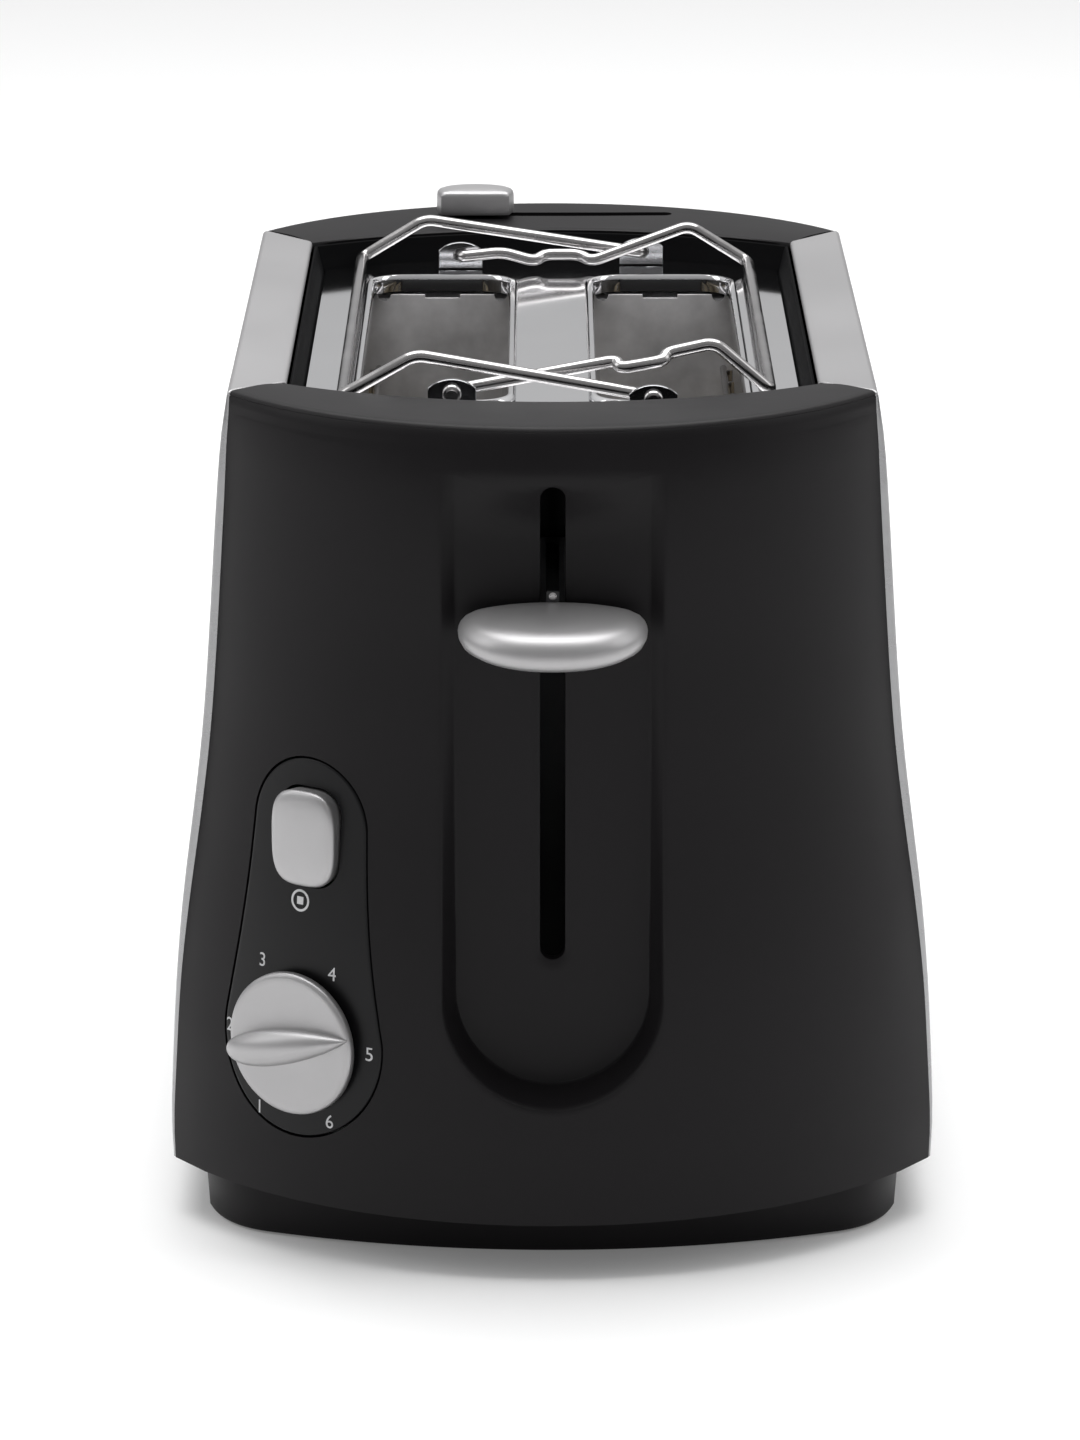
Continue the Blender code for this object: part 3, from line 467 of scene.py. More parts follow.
def dress(item, material, body, slot, replaced=(), sharp=30, bevel=0.0, segments=2):
    """Material, smooth shading, optional bevel, and the piece's place in the frame."""
    item.data.materials.clear()
    item.data.materials.append(MATERIALS[material])
    if bevel:
        change = item.modifiers.new("edges", "BEVEL")
        change.width = bevel / 1000
        change.segments = segments
        change.limit_method = "ANGLE"
        change.angle_limit = math.radians(35)
        bake(item)
    item.data.shade_smooth()
    item.data.set_sharp_from_angle(angle=math.radians(sharp))
    if replaced:
        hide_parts(*replaced)
    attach(item, body)
    return item


def piece(name, shape, material, body, slot, replaced=(), **options):
    return dress(raw_object(name, shape), material, body, slot, replaced, **options)


class ControlFrame:
    """Flat frame on the cap at the browning dial: a to the right, b up, c outwards."""

    def __init__(self):
        self.outward = Vector((-math.sin(DIAL_YAW), -math.cos(DIAL_YAW), 0))
        self.right = Vector((math.cos(DIAL_YAW), -math.sin(DIAL_YAW), 0))
        self.origin = Vector((DIAL_X, -face_y(DIAL_X, DIAL_Z), DIAL_Z))

    def at(self, a, b, c):
        return self.origin + self.right * a + Vector((0, 0, b)) + self.outward * c

    def surface(self, a, b):
        """Height c at which the frame's normal through (a, b) meets the cap's face."""
        low, high = -12.0, 8.0
        for _ in range(24):
            middle = (low + high) / 2
            place = self.at(a, b, middle)
            if -place.y < face_y(place.x, place.z):
                low = middle
            else:
                high = middle
        return (low + high) / 2

    def block(self, outline, low, high):
        return loft([[self.at(a, b, c) for a, b in outline] for c in (low, high)])


CONTROLS = ControlFrame()


def insert_halves(grow, steps=28):
    """Left and right sides of the gourd outline, both from the bottom to the top."""
    a, b = INSERT_HIGH_AB
    lean = math.atan2(b, a)
    spread_angle = math.acos((INSERT_LOW_R - INSERT_HIGH_R) / math.hypot(a, b))
    sides = []
    for turn in (1, -1):
        points = []
        start = lean + math.pi * turn
        for i in range(steps + 1):
            angle = start + (lean + turn * spread_angle - start) * i / steps
            radius = INSERT_LOW_R + grow
            points.append((radius * math.cos(angle), radius * math.sin(angle)))
        low = points[-1]
        first = lean + turn * spread_angle
        radius = INSERT_HIGH_R + grow
        high = (a + radius * math.cos(first), b + radius * math.sin(first))
        for i in range(1, steps):
            t = i / steps
            waist = 1.1 * math.sin(math.pi * t)
            x = low[0] + (high[0] - low[0]) * t + turn * waist
            points.append((x, low[1] + (high[1] - low[1]) * t))
        for i in range(steps + 1):
            angle = first + (lean - first) * i / steps
            points.append((a + radius * math.cos(angle), b + radius * math.sin(angle)))
        sides.append(points)
    return sides


# Outer shells

def stadium(radius, low, high, top=1.0, bottom_steps=48, side_steps=28):
    """Upright loop with round ends: x and z from the left side round the bottom."""
    points = []
    for i in range(bottom_steps):
        angle = math.pi * (1 + i / bottom_steps)
        points.append((radius * math.cos(angle), low + radius * math.sin(angle)))
    for i in range(side_steps):
        points.append((radius, low + (high - low) * i / side_steps))
    for i in range(bottom_steps):
        angle = math.pi * i / bottom_steps
        points.append((radius * math.cos(angle), high + top * radius * math.sin(angle)))
    for i in range(side_steps):
        points.append((-radius, high - (high - low) * i / side_steps))
    return points


def cap_border():
    """Border of the cap's face as (u, z), matched point by point to the channel's outline."""
    side_low, side_high, crown = 50.0, 160.0, BORDER_TOP_Z
    runs = ((12, (-1, side_low), (-1, SKIRT_Z)), (24, (-1, SKIRT_Z), (1, SKIRT_Z)),
            (12, (1, SKIRT_Z), (1, side_low)), (28, (1, side_low), (1, side_high)),
            (12, (1, side_high), (1, crown)), (24, (1, crown), (-1, crown)),
            (12, (-1, crown), (-1, side_high)), (28, (-1, side_high), (-1, side_low)))
    points = []
    for count, (u0, z0), (u1, z1) in runs:
        for i in range(count):
            t = i / count
            points.append((u0 + (u1 - u0) * t, z0 + (z1 - z0) * t))
    return points


def crown_rows(us):
    """Rows from the cap's face over the crown and across the band to the top opening."""
    rows = [[cap_point(u, z, inward) for u in us] for inward, z in CROWN]
    edge = []
    for u in us:
        x = u * MOUTH_X
        edge.append((x, MOUTH_Y + GAP + arc_height(x, MOUTH_X, MOUTH_BOW), BAND_Z))
    last = rows[-1]
    for t in (0.2, 0.4, 0.6, 0.8, 0.93, 0.985):
        row = []
        for p, q in zip(last, edge):
            lift = 0.35 * math.sin(math.pi * t)
            row.append(tuple(p[k] + (q[k] - p[k]) * t + (lift if k == 2 else 0) for k in range(3)))
        rows.append(row)
    rows.append([(x, y, z - 0.25) for x, y, z in edge])
    rows.append([(x, y + 0.1, z - 2.4) for x, y, z in edge])
    return rows


def channel_depth(x, z, share):
    """Y of the recessed channel: share is 1 on its floor and 0 on the cap's face."""
    face = face_y(x, z)
    fade = 1 - ease((z - CHANNEL_FADE_Z[0]) / (CHANNEL_FADE_Z[1] - CHANNEL_FADE_Z[0]))
    return face + (CHANNEL_Y - face) * share * fade


def front_cap_skin():
    lip = stadium(SLOT_HALF + 0.25, *SLOT_Z)
    floor = stadium(CHANNEL_HALF, *CHANNEL_Z, top=CHANNEL_TOP)
    rings = []
    for radius, back in ((SLOT_HALF, 3.2), (SLOT_HALF, 0.35), (SLOT_HALF + 0.08, 0.1)):
        rings.append([(x, channel_depth(x, z, 1.0) - back, z) for x, z in stadium(radius, *SLOT_Z)])
    for t in (0.0, 0.1, 0.25, 0.45, 0.65, 0.85, 0.96, 1.0):
        ring = []
        for (x0, z0), (x1, z1) in zip(lip, floor):
            x = x0 + (x1 - x0) * t
            z = z0 + (z1 - z0) * t
            ring.append((x, channel_depth(x, z, 1.0), z))
        rings.append(ring)
    for out, share in ((0.25, 0.97), (0.6, 0.86), (1.7, 0.51), (2.8, 0.16), (3.15, 0.06), (3.5, 0.012),
                       (4.0, 0.0), (5.0, 0.0)):
        outline = stadium(CHANNEL_HALF + out, *CHANNEL_Z, top=CHANNEL_TOP)
        rings.append([(x, channel_depth(x, z, share), z) for x, z in outline])
    start = stadium(CHANNEL_HALF + 5.0, *CHANNEL_Z, top=CHANNEL_TOP)
    border = cap_border()
    rows_out = 22
    for r in range(1, rows_out + 1):
        t = (r / rows_out) ** 1.15
        ring = []
        for (x0, z0), (u1, z1) in zip(start, border):
            x1 = u1 * cap_width(z1)
            x = x0 + (x1 - x0) * t
            z = z0 + (z1 - z0) * t
            ring.append(cap_point(min(max(x / cap_width(z), -1), 1), z))
        rings.append(ring)
    vertices, faces = loft(rings, filled=False)
    top = [i for i, place in enumerate(border) if abs(place[1] - BORDER_TOP_Z) < 1e-6]
    us = [border[i][0] for i in top]
    shift = len(vertices)
    offset = len(vertices) - len(border)
    rows = crown_rows(us)
    size = len(us)
    vertices += [p for row in rows for p in row]
    for i in range(size - 1):
        faces.append((offset + top[i], offset + top[i + 1], shift + i + 1, shift + i))
    for r in range(len(rows) - 1):
        for i in range(size - 1):
            a = shift + r * size + i
            faces.append((a, a + 1, a + size + 1, a + size))
    return [(x, -y, z) for x, y, z in vertices], faces


def make_front_cap():
    cap = raw_object("front_cap_shell", front_cap_skin())
    thicken(cap, CAP_WALL, -1)
    left, right = insert_halves(INSERT_SEAM)
    carve(cap, CONTROLS.block(left + right[::-1][1:-1], -9, 12))
    dress(cap, "black_plastic", "housing", "black_shell", ("front_cap",), sharp=38)


def make_insert():
    """Control insert: a patch that follows the cap's face, with a rounded edge."""
    left, right = insert_halves(-INSERT_SEAM)
    across = 14
    rows = []
    for p, q in zip(left, right):
        row = []
        for k in range(across + 1):
            t = 0.5 - 0.5 * math.cos(math.pi * k / across)
            a = p[0] + (q[0] - p[0]) * t
            b = p[1] + (q[1] - p[1]) * t
            row.append(CONTROLS.at(a, b, CONTROLS.surface(a, b)))
        rows.append(row)
    top = skin(rows)
    rings = []
    for grow, drop in ((-INSERT_SEAM, 0.0), (-0.2, 0.08), (-0.05, 0.28), (0.0, 0.6), (0.0, INSERT_WALL)):
        left, right = insert_halves(grow)
        outline = left + right[::-1][1:-1]
        rings.append([CONTROLS.at(a, b, CONTROLS.surface(a, b) - drop) for a, b in outline])
    rim = loft(rings, filled=False)
    back_rows = [[p - CONTROLS.outward * INSERT_WALL for p in row] for row in rows]
    back = skin(back_rows)
    left_in, right_in = insert_halves(-INSERT_SEAM)
    inner = left_in + right_in[::-1][1:-1]
    inner_ring = [CONTROLS.at(a, b, CONTROLS.surface(a, b) - INSERT_WALL) for a, b in inner]
    seam = loft([rings[-1], inner_ring], filled=False)
    insert = raw_object("control_insert_shell", merged(top, rim, seam, back), weld=0.00002)
    hole = rounded_rectangle(BUTTON_HALF[0] + 0.35, BUTTON_HALF[1] + 0.35, 6.3, 8, BUTTON_AB)
    carve(insert, CONTROLS.block(hole, -12, 12))
    carve(insert, CONTROLS.block(circle(3.6, 24), -12, 12))
    dress(insert, "gloss_black", "housing", "gloss_insert", ("control_insert",), sharp=38)


def make_rear_cap():
    us = [2 * i / 56 - 1 for i in range(57)]
    heights = [SKIRT_Z, 16, 20] + [25 + 8.5 * i for i in range(21)]
    rows = [[cap_point(u, z) for u in us] for z in heights]
    rows += crown_rows(us)
    cap = raw_object("rear_cap_shell", skin([[(x, y, z) for x, y, z in row] for row in rows]))
    thicken(cap, CAP_WALL, 1)
    slot = rounded_rectangle(30, 2.2, 2.1, 6, (2.0, RACK_SLOT_Y))
    carve(cap, prism(slot, 185, 205))
    dress(cap, "black_plastic", "housing", "black_shell", ("rear_cap",), sharp=38)


def make_panels():
    """Silver sheets with a rolled edge at both ends, turned over the shoulder as top strips."""
    heights = [SKIRT_Z + 0.4 * i * i for i in range(4)] + [22 + 6.0 * i for i in range(29)]
    profile = [Vector((side_width(z), z)) for z in heights if z < 197]
    straight = len(profile)
    for i in range(9):
        angle = math.radians(18 + 72 * i / 8)
        profile.append(Vector((SHOULDER_X + SHOULDER_R * math.cos(angle),
                               TOP_Z - SHOULDER_R + SHOULDER_R * math.sin(angle))))
    for i in range(1, 6):
        t = i / 5
        profile.append(Vector((SHOULDER_X + (MOUTH_X + 0.9 - SHOULDER_X) * t, TOP_Z - 0.55 * t)))
    profile += [Vector((MOUTH_X + 0.4, TOP_Z - 0.7)), Vector((MOUTH_X + 0.1, TOP_Z - 1.0)),
                Vector((MOUTH_X, TOP_Z - 1.4))]
    edge = ((0.0, 3.0), (0.0, 1.2), (0.1, 0.6), (0.45, 0.15), (1.0, 0.0), (3.0, 0.0), (3.5, 0.25),
            (3.6, 0.7), (3.3, 1.05), (1.6, 1.1), (1.05, 1.5), (0.95, 3.0))
    for name, side in (("left_panel", -1), ("right_panel", 1)):
        rings = []
        for i, point in enumerate(profile):
            along = profile[min(i + 1, len(profile) - 1)] - profile[max(i - 1, 0)]
            inward = Vector((-along.y, along.x)).normalized()
            if i == len(profile) - 1:
                inward = Vector((0, -1))
            if i == 0:
                inward = Vector((-1, 0))
            reach = min(CORNER_Y, MOUTH_Y + (point.x - MOUTH_X))
            fold = 1.0 if i < straight else 0.3
            section = [(depth * fold, reach - back * fold) for depth, back in edge]
            section = [(depth, -y) for depth, y in section[::-1]] + section
            rings.append([(side * (point.x + inward.x * depth), y, point.y + inward.y * depth)
                          for depth, y in section])
        panel = raw_object(name + "_sheet", loft(rings))
        dress(panel, "silver_paint", "housing", "silver_panel", (name,), sharp=40)
        # The rolled ends take the darker silver, whose darkness is painted shade.
        panel.data.materials.append(MATERIALS["silver_edge_with_painted_shade"])
        limit = CORNER_Y - 1.0
        for face in panel.data.polygons:
            y = abs(face.center.y * 1000 - SET_BACK)
            if y > limit and face.center.z * 1000 < 197:
                face.material_index = 1


# The top well

def make_top():
    section = ((0.4, 197.2), (0.5, 189.6), (6.8, 189.6), (6.8, 190.9), (3.25, 190.95), (3.0, 191.4),
               (1.55, 197.6), (1.35, 198.1), (1.0, 198.3), (0.6, 198.1))
    rings = [[(x, y, z) for x, y in mouth_outline(inward)] for inward, z in section]
    piece("well_frame", loft(rings, loop=True), "well_black", "housing", "black_shell", ("top_frame",))
    rim = ((0.1, 189.3), (0.05, 190.8), (0.0, 192.4), (0.12, 193.1), (0.45, 193.5), (0.95, 193.58),
           (1.5, 193.45), (1.9, 193.05), (2.15, 192.55), (2.2, 192.3), (1.9, 192.25), (1.0, 192.3),
           (0.85, 191.5), (0.85, 189.3))
    for name, side in (("slot_rim_left", -1), ("slot_rim_right", 1)):
        rings = []
        for outward, z in rim:
            outline = rounded_rectangle(RIM_HALF[0] + outward, RIM_HALF[1] + outward, RIM_R + outward,
                                        10, (side * BREAD_X, BREAD_Y))
            rings.append([(x, y, z) for x, y in outline])
        piece(name + "_rolled", loft(rings, loop=True), "mirror_steel", "housing", "chrome_wire",
              (name,))
    NODES["top_plate"].data.materials.clear()
    NODES["top_plate"].data.materials.append(MATERIALS["mirror_steel"])


def make_end_plates():
    """Walls at the ends of the slots, notched at the top: the rear wall's light grey is painted light,
    the front wall's near-black is painted shade.
    """
    for name, end, y in (("front_chassis_plate", -1, -75.5), ("rear_chassis_plate", 1, 72.6)):
        half = PLATE_SHEET / 2
        plate = raw_object(name + "_sheet", box((-56, 56), (y - half, y + half), (22.5, END_PLATE_TOP)))
        flange_z = (END_PLATE_TOP - 2 * PLATE_SHEET, END_PLATE_TOP - PLATE_SHEET)
        carve(plate, box((-54, 54), sorted((y, end * 91)), flange_z), "UNION")
        through_sheet = (y - 0.7, y + 0.7)
        for side in (-1, 1):
            x = side * BREAD_X
            carve(plate, box((x - 2.5, x + 2.5), (y - 2, y + 2), (28, 150)))
            notch_z = (END_PLATE_TOP - 0.9, END_PLATE_TOP + 1)
            carve(plate, box((x - 4.5, x + 4.5), through_sheet, notch_z))
            for way in (-1, 1):
                place = (x + way * 15, y, END_PLATE_TOP)
                carve(plate, turned(((1.7, -0.7), (1.7, 0.7)), place, (0, 1, 0), 20))
        # The rear plate takes the light copy of the steel as painted light, the front plate the dark
        # copy as painted shade.
        finish_name = "steel_painted_light" if end > 0 else "steel_painted_shade"
        dress(plate, finish_name, "housing", "galvanised", (name,), bevel=0.15, segments=1)


def make_guards():
    """Cages of thin bright wire."""
    radius = 0.9
    for name, side, offset in (("left_outer", -1, 1), ("left_inner", -1, -1), ("right_inner", 1, -1),
                               ("right_outer", 1, 1)):
        x = side * (BREAD_X + offset * GUARD_OFFSET)
        wires = [tube([(x, -74.0, z), (x, 71.2, z)], radius, 12) for z in (GUARD_WIRE_Z, 107.0, 31.5)]
        for i in range(10):
            y = -66 + 132 * i / 9
            out = x + side * offset * radius * 1.7
            wires.append(tube([(out, y, 31), (out, y, GUARD_WIRE_Z + 0.6)], radius * 0.8, 8))
        piece("guard_wires_" + name, merged(*wires), "chrome_wire", "guard_" + name, "chrome_wire",
              ("bread_guard_" + name,))


# Controls

def make_lever_knob():
    """Shell-shaped paddle with a soft front rim and a slightly dished, sloping top."""
    count = 72
    rings = []
    layers = ((0.30, 0.00), (0.72, 0.02), (0.89, 0.09), (0.965, 0.21), (0.995, 0.36), (1.0, 0.48),
              (0.992, 0.61), (0.97, 0.73), (0.925, 0.85), (0.85, 0.935), (0.72, 0.98), (0.4, 1.0),
              (0.12, 1.0))
    for scale, rise in layers:
        ring = []
        for i in range(count):
            angle = 2 * math.pi * i / count
            s = math.sin(angle)
            reach = KNOB_FRONT_Y - KNOB_WAIST_Y if s > 0 else KNOB_WAIST_Y - KNOB_BACK_Y
            x = scale * KNOB_HALF * math.copysign(abs(math.cos(angle)) ** 0.94, math.cos(angle))
            y = KNOB_WAIST_Y + scale * reach * math.copysign(abs(s) ** 0.94, s)
            share = (y - KNOB_BACK_Y) / (KNOB_FRONT_Y - KNOB_BACK_Y)
            low = 151.0 - 3.6 * share
            high = 160.0 - 3.4 * share - 0.9 * (x / KNOB_HALF) ** 2 - 1.2 * max(share - 0.55, 0) ** 2
            ring.append((x, -y, low + (high - low) * rise))
        rings.append(ring)
    piece("lever_paddle", loft(rings), "silver_trim", "carriage", "silver_controls", ("lever_knob",),
          sharp=60)
    neck = box((-1.5, 1.5), (-142.6, -141.2), (158.6, 162.0))
    # The neck's near-black steel is painted shade.
    piece("lever_neck", neck, "steel_painted_shade", "carriage", "galvanised", bevel=0.4)
    pin = turned(((0.9, 0.0), (0.9, 0.5), (0.5, 0.8)), (0, -142.6, 161.0), (0, -1, 0), 20)
    piece("lever_neck_rivet", pin, "chrome_wire", "carriage", "galvanised")


def superellipse(half_a, half_b, power, count, centre):
    points = []
    for i in range(count):
        angle = 2 * math.pi * i / count
        c = math.cos(angle)
        s = math.sin(angle)
        points.append((centre[0] + half_a * math.copysign(abs(c) ** (2 / power), c),
                       centre[1] + half_b * math.copysign(abs(s) ** (2 / power), s)))
    return points


def make_stop_button():
    a, b = BUTTON_AB
    level = CONTROLS.surface(a, b)
    rings = []
    for shrink, height in ((0.3, -3.0), (0.1, 1.2), (0.0, 1.9), (0.12, 2.4), (0.45, 2.8), (1.0, 3.05),
                           (2.2, 3.3), (4.4, 3.5), (7.4, 3.6)):
        outline = superellipse(BUTTON_HALF[0] - shrink, BUTTON_HALF[1] - shrink * 1.1, 3.3, 72, (a, b))
        rings.append([CONTROLS.at(p, q, level + height) for p, q in outline])
    button = raw_object("stop_key", loft(rings))
    stem = turned(((3.0, level - 9), (3.0, level)), CONTROLS.at(a, b, 0), CONTROLS.outward, 24)
    carve(button, stem, "UNION")
    dress(button, "silver_trim", "stop_control", "silver_controls", ("stop_button",), sharp=50)


def make_browning_dial():
    """Disc that swells softly into a leaf-shaped grip, which ends in a fine pointer."""
    spokes = 120
    along = Vector((math.cos(DIAL_POINTER), math.sin(DIAL_POINTER)))
    across = Vector((-along.y, along.x))

    def swell(a, b):
        p = a * along.x + b * along.y
        q = a * across.x + b * across.y
        reach = ease((p + 15) / 8) * ease((13 - p) / 14)
        return 0.5 * reach * math.exp(-((max(abs(q) - 2.0, 0)) / 2.6) ** 2)

    rings = []
    for inward, height in ((1.0, 0.8), (0.3, 0.9), (0.0, 1.2), (0.0, 2.3), (0.12, 2.75), (0.45, 3.05),
                           (1.0, 3.2)):
        rings.append([CONTROLS.at(a, b, height) for a, b in circle(DIAL_R - inward, spokes)])
    for k in range(15, -1, -1):
        radius = (DIAL_R - 1.5) * k / 15 + 0.3
        rings.append([CONTROLS.at(a, b, 3.25 + swell(a, b)) for a, b in circle(radius, spokes)])
    dial = raw_object("browning_dial", loft(rings))
    grip = []
    steps = 44
    for i in range(steps + 1):
        t = i / steps
        p = -17.4 + 34.2 * t
        half = max(0.06, 10.2 * math.sqrt(t) * (1 - t) ** 0.8)
        height = 3.4 + 13.6 * math.sqrt(t) * (1 - t) ** 0.75
        ring = []
        for k in range(20):
            angle = 2 * math.pi * k / 20
            q = half * math.cos(angle)
            rise = math.sin(angle)
            c = (2.2 + height) / 2 + (height - 2.2) / 2 * math.copysign(abs(rise) ** 0.9, rise)
            a = p * along.x + q * across.x
            b = p * along.y + q * across.y
            ring.append(CONTROLS.at(a, b, c))
        grip.append(ring)
    carve(dial, loft(grip), "UNION")
    dress(dial, "silver_trim", "browning_control", "silver_controls", ("browning_knob",), sharp=48)


def glyph(name, text, size):
    """Flat filled outline of a character, as vertices in mm and faces, centred on its box."""
    curve = bpy.data.curves.new(name, "FONT")
    curve.body = text
    curve.size = size
    curve.align_x = "CENTER"
    curve.align_y = "CENTER"
    holder = bpy.data.objects.new(name, curve)
    bpy.context.collection.objects.link(holder)
    bpy.context.view_layer.update()
    depsgraph = bpy.context.evaluated_depsgraph_get()
    mesh = bpy.data.meshes.new_from_object(holder.evaluated_get(depsgraph))
    work = bmesh.new()
    work.from_mesh(mesh)
    bmesh.ops.remove_doubles(work, verts=work.verts, dist=0.001)
    shape = ([tuple(v.co) for v in work.verts], [tuple(v.index for v in f.verts) for f in work.faces])
    work.free()
    bpy.data.objects.remove(holder, do_unlink=True)
    bpy.data.meshes.remove(mesh)
    return shape


def printed(name, shapes):
    """Thin ink laid on the insert from flat shapes in the control frame."""
    vertices, faces = merged(*shapes)
    placed = [CONTROLS.at(a, b, CONTROLS.surface(a, b) + 0.03) for a, b, _ in vertices]
    mark = raw_object(name, (placed, faces))
    mesh = mark.data
    lean = sum(face.normal.dot(CONTROLS.outward) * face.area for face in mesh.polygons)
    if lean < 0:
        mesh.flip_normals()
    change = mark.modifiers.new("ink", "SOLIDIFY")
    change.thickness = 0.00005
    change.offset = 1.0
    bake(mark)
    dress(mark, "ink", "housing", "silver_controls")


def make_print():
    shapes = []
    for number in range(1, 7):
        angle = math.radians(240 - 60 * (number - 1))
        vertices, faces = glyph("digit", str(number), 4.6)
        a = NUMBER_AB[0] + NUMBER_R * math.cos(angle)
        b = NUMBER_AB[1] + NUMBER_R * math.sin(angle)
        shapes.append(([(x + a, y + b, 0) for x, y, _ in vertices], faces))
    printed("dial_numbers", shapes)
    a, b = STOP_MARK_AB
    circles = [[(a + x, b + y, 0) for x, y in circle(radius, 48)] for radius in (2.6, 2.05)]
    ring = loft(circles, filled=False)
    half = 0.9
    corners = ((-half, -half), (half, -half), (half, half), (-half, half))
    square = ([(a + x, b + y, 0) for x, y in corners], [(0, 1, 2, 3)])
    printed("stop_symbol", [ring, square])


# Bun rack

def bracket_shape(x, y):
    """Upright tab with a shallow round top and a bore for the wire's end."""
    foot, shoulder, top = BRACKET_Z
    steps = 16
    corners = [(BRACKET_HALF, shoulder)]
    for i in range(1, steps):
        reach = BRACKET_HALF * (1 - 2 * i / steps)
        corners.append((reach, shoulder + arc_height(reach, BRACKET_HALF, top - shoulder)))
    corners += [(-BRACKET_HALF, shoulder), (-BRACKET_HALF, foot), (BRACKET_HALF, foot)]
    outer = []
    bore = []
    for (x0, z0), (x1, z1) in zip(corners, corners[1:] + corners[:1]):
        parts = math.ceil(math.hypot(x1 - x0, z1 - z0) / 0.7)
        for k in range(parts):
            px = x0 + (x1 - x0) * k / parts
            pz = z0 + (z1 - z0) * k / parts
            away = Vector((px, pz - PIVOT_Z)).normalized() * (WIRE_R + 0.35)
            outer.append((x + px, pz))
            bore.append((x + away.x, PIVOT_Z + away.y))
    rings = []
    for outline, side in ((outer, -0.7), (outer, 0.7), (bore, 0.7), (bore, -0.7)):
        rings.append([(px, y + side, pz) for px, pz in outline])
    return loft(rings, loop=True)


def make_rack():
    for name, (x, y) in RACK_BRACKETS.items():
        piece("rack_tab_" + name, bracket_shape(x, y), "tab_steel", "housing", "mirror_plate",
              ("rack_bracket_" + name,), bevel=0.12, segments=1)
        body = "rack_right" if x < 0 else "rack_left"
        end = math.copysign(1, y)
        collar = turned(((1.45, 0.0), (2.1, 0.1), (2.3, 0.5), (2.25, 1.0), (1.95, 1.4), (1.45, 1.6)),
                        (x, y + end * 0.95, PIVOT_Z), (0, end, 0), 32)
        piece("rack_collar_" + name, collar, "chrome_wire", body, "chrome_wire")
    front, rear = -88.6, 92.8
    path = [(PIVOT_X, -94.6, PIVOT_Z), (PIVOT_X, front, PIVOT_Z), (-31.9, front, 205.6),
            (-49.0, front, 196.0), (-49.2, rear, 194.5), (-32.7, rear, 204.5), (PIVOT_X, rear, PIVOT_Z),
            (PIVOT_X, 98.5, PIVOT_Z)]
    piece("rack_wire_left", tube(rounded_path(path, WIRE_BEND), WIRE_R, 20), "chrome_wire", "rack_left",
          "chrome_wire", ("rack_frame_left",))
    front, rear = -82.1, 86.7
    jog_front, jog_rear = -85.2, 89.2
    path = [(-PIVOT_X, -89.3, PIVOT_Z), (-PIVOT_X, front, PIVOT_Z), (15.1, front, 203.0),
            (15.7, jog_front, 201.7), (26.0, jog_front, 203.5), (26.6, front, 204.7),
            (37.9, front, 207.2), (51.0, front, 196.0), (51.0, rear, 194.5), (35.7, rear, 204.0),
            (10.5, rear, 194.6), (7.3, jog_rear, 196.0), (-1.8, jog_rear, 196.0), (-4.2, rear, 194.6),
            (-12.7, rear, 197.0), (-PIVOT_X, rear, PIVOT_Z), (-PIVOT_X, 92.5, PIVOT_Z)]
    piece("rack_wire_right", tube(rounded_path(path, WIRE_BEND), WIRE_R, 20), "chrome_wire",
          "rack_right", "chrome_wire", ("rack_frame_right",))


def make_rack_knob():
    """Silver slider with a flat front, a bowed back and a softly domed top."""
    y = RACK_SLOT_Y
    outline = []
    for i in range(13):
        x = -9 + 18 * i / 12
        outline.append((x, y - 6.7 + 0.25 * (x / 9) ** 2))
    for i in range(4):
        t = (i + 1) / 5
        outline.append((9 + 1.2 * math.sin(t * math.pi / 2), y - 6.4 + 6.4 * t))
    for i in range(25):
        angle = math.pi * i / 24
        outline.append((10.2 * math.cos(angle), y + 7.0 * math.sin(angle)))
    for i in range(4):
        t = 1 - (i + 1) / 5
        outline.append((-9 - 1.2 * math.sin(t * math.pi / 2), y - 6.4 + 6.4 * t))
    rings = []
    for scale, z in ((0.97, 200.7), (0.985, 201.0), (1.0, 201.6), (0.995, 205.3), (0.975, 206.1),
                     (0.93, 206.6), (0.82, 206.95), (0.5, 207.25), (0.2, 207.35)):
        rings.append([(RACK_KNOB_X + px * scale, y + (py - y) * scale, z) for px, py in outline])
    piece("rack_slide_knob", loft(rings), "silver_trim", "rack_slide", "silver_controls",
          ("rack_knob",), sharp=60)


# Base and the rest

def base_outline(outward, steps=30):
    """Bowed ends, soft corners, straight sides."""
    half, corner_y, bend, bend_x, radius, reach = 82.0, 101.0, (78.5, 115.0), 68.0, 181.0, 132.7
    centre_y = reach - radius
    bend_y = centre_y + math.sqrt(radius**2 - bend_x**2)
    corner = []
    for i in range(15):
        t = i / 14
        shares = ((1 - t) ** 2, 2 * t * (1 - t), t * t)
        corner.append((shares[0] * half + shares[1] * bend[0] + shares[2] * bend_x,
                       shares[0] * corner_y + shares[1] * bend[1] + shares[2] * bend_y))
    front = [(-x, -y) for x, y in corner]
    for i in range(1, steps):
        x = bend_x * (2 * i / steps - 1)
        front.append((x, -(centre_y + math.sqrt(radius**2 - x * x))))
    front += [(x, -y) for x, y in reversed(corner)]
    grow_x = (half + outward) / half
    grow_y = (reach + outward) / reach
    front = [(x * grow_x, y * grow_y) for x, y in front]
    return front + [(-x, -y) for x, y in front]


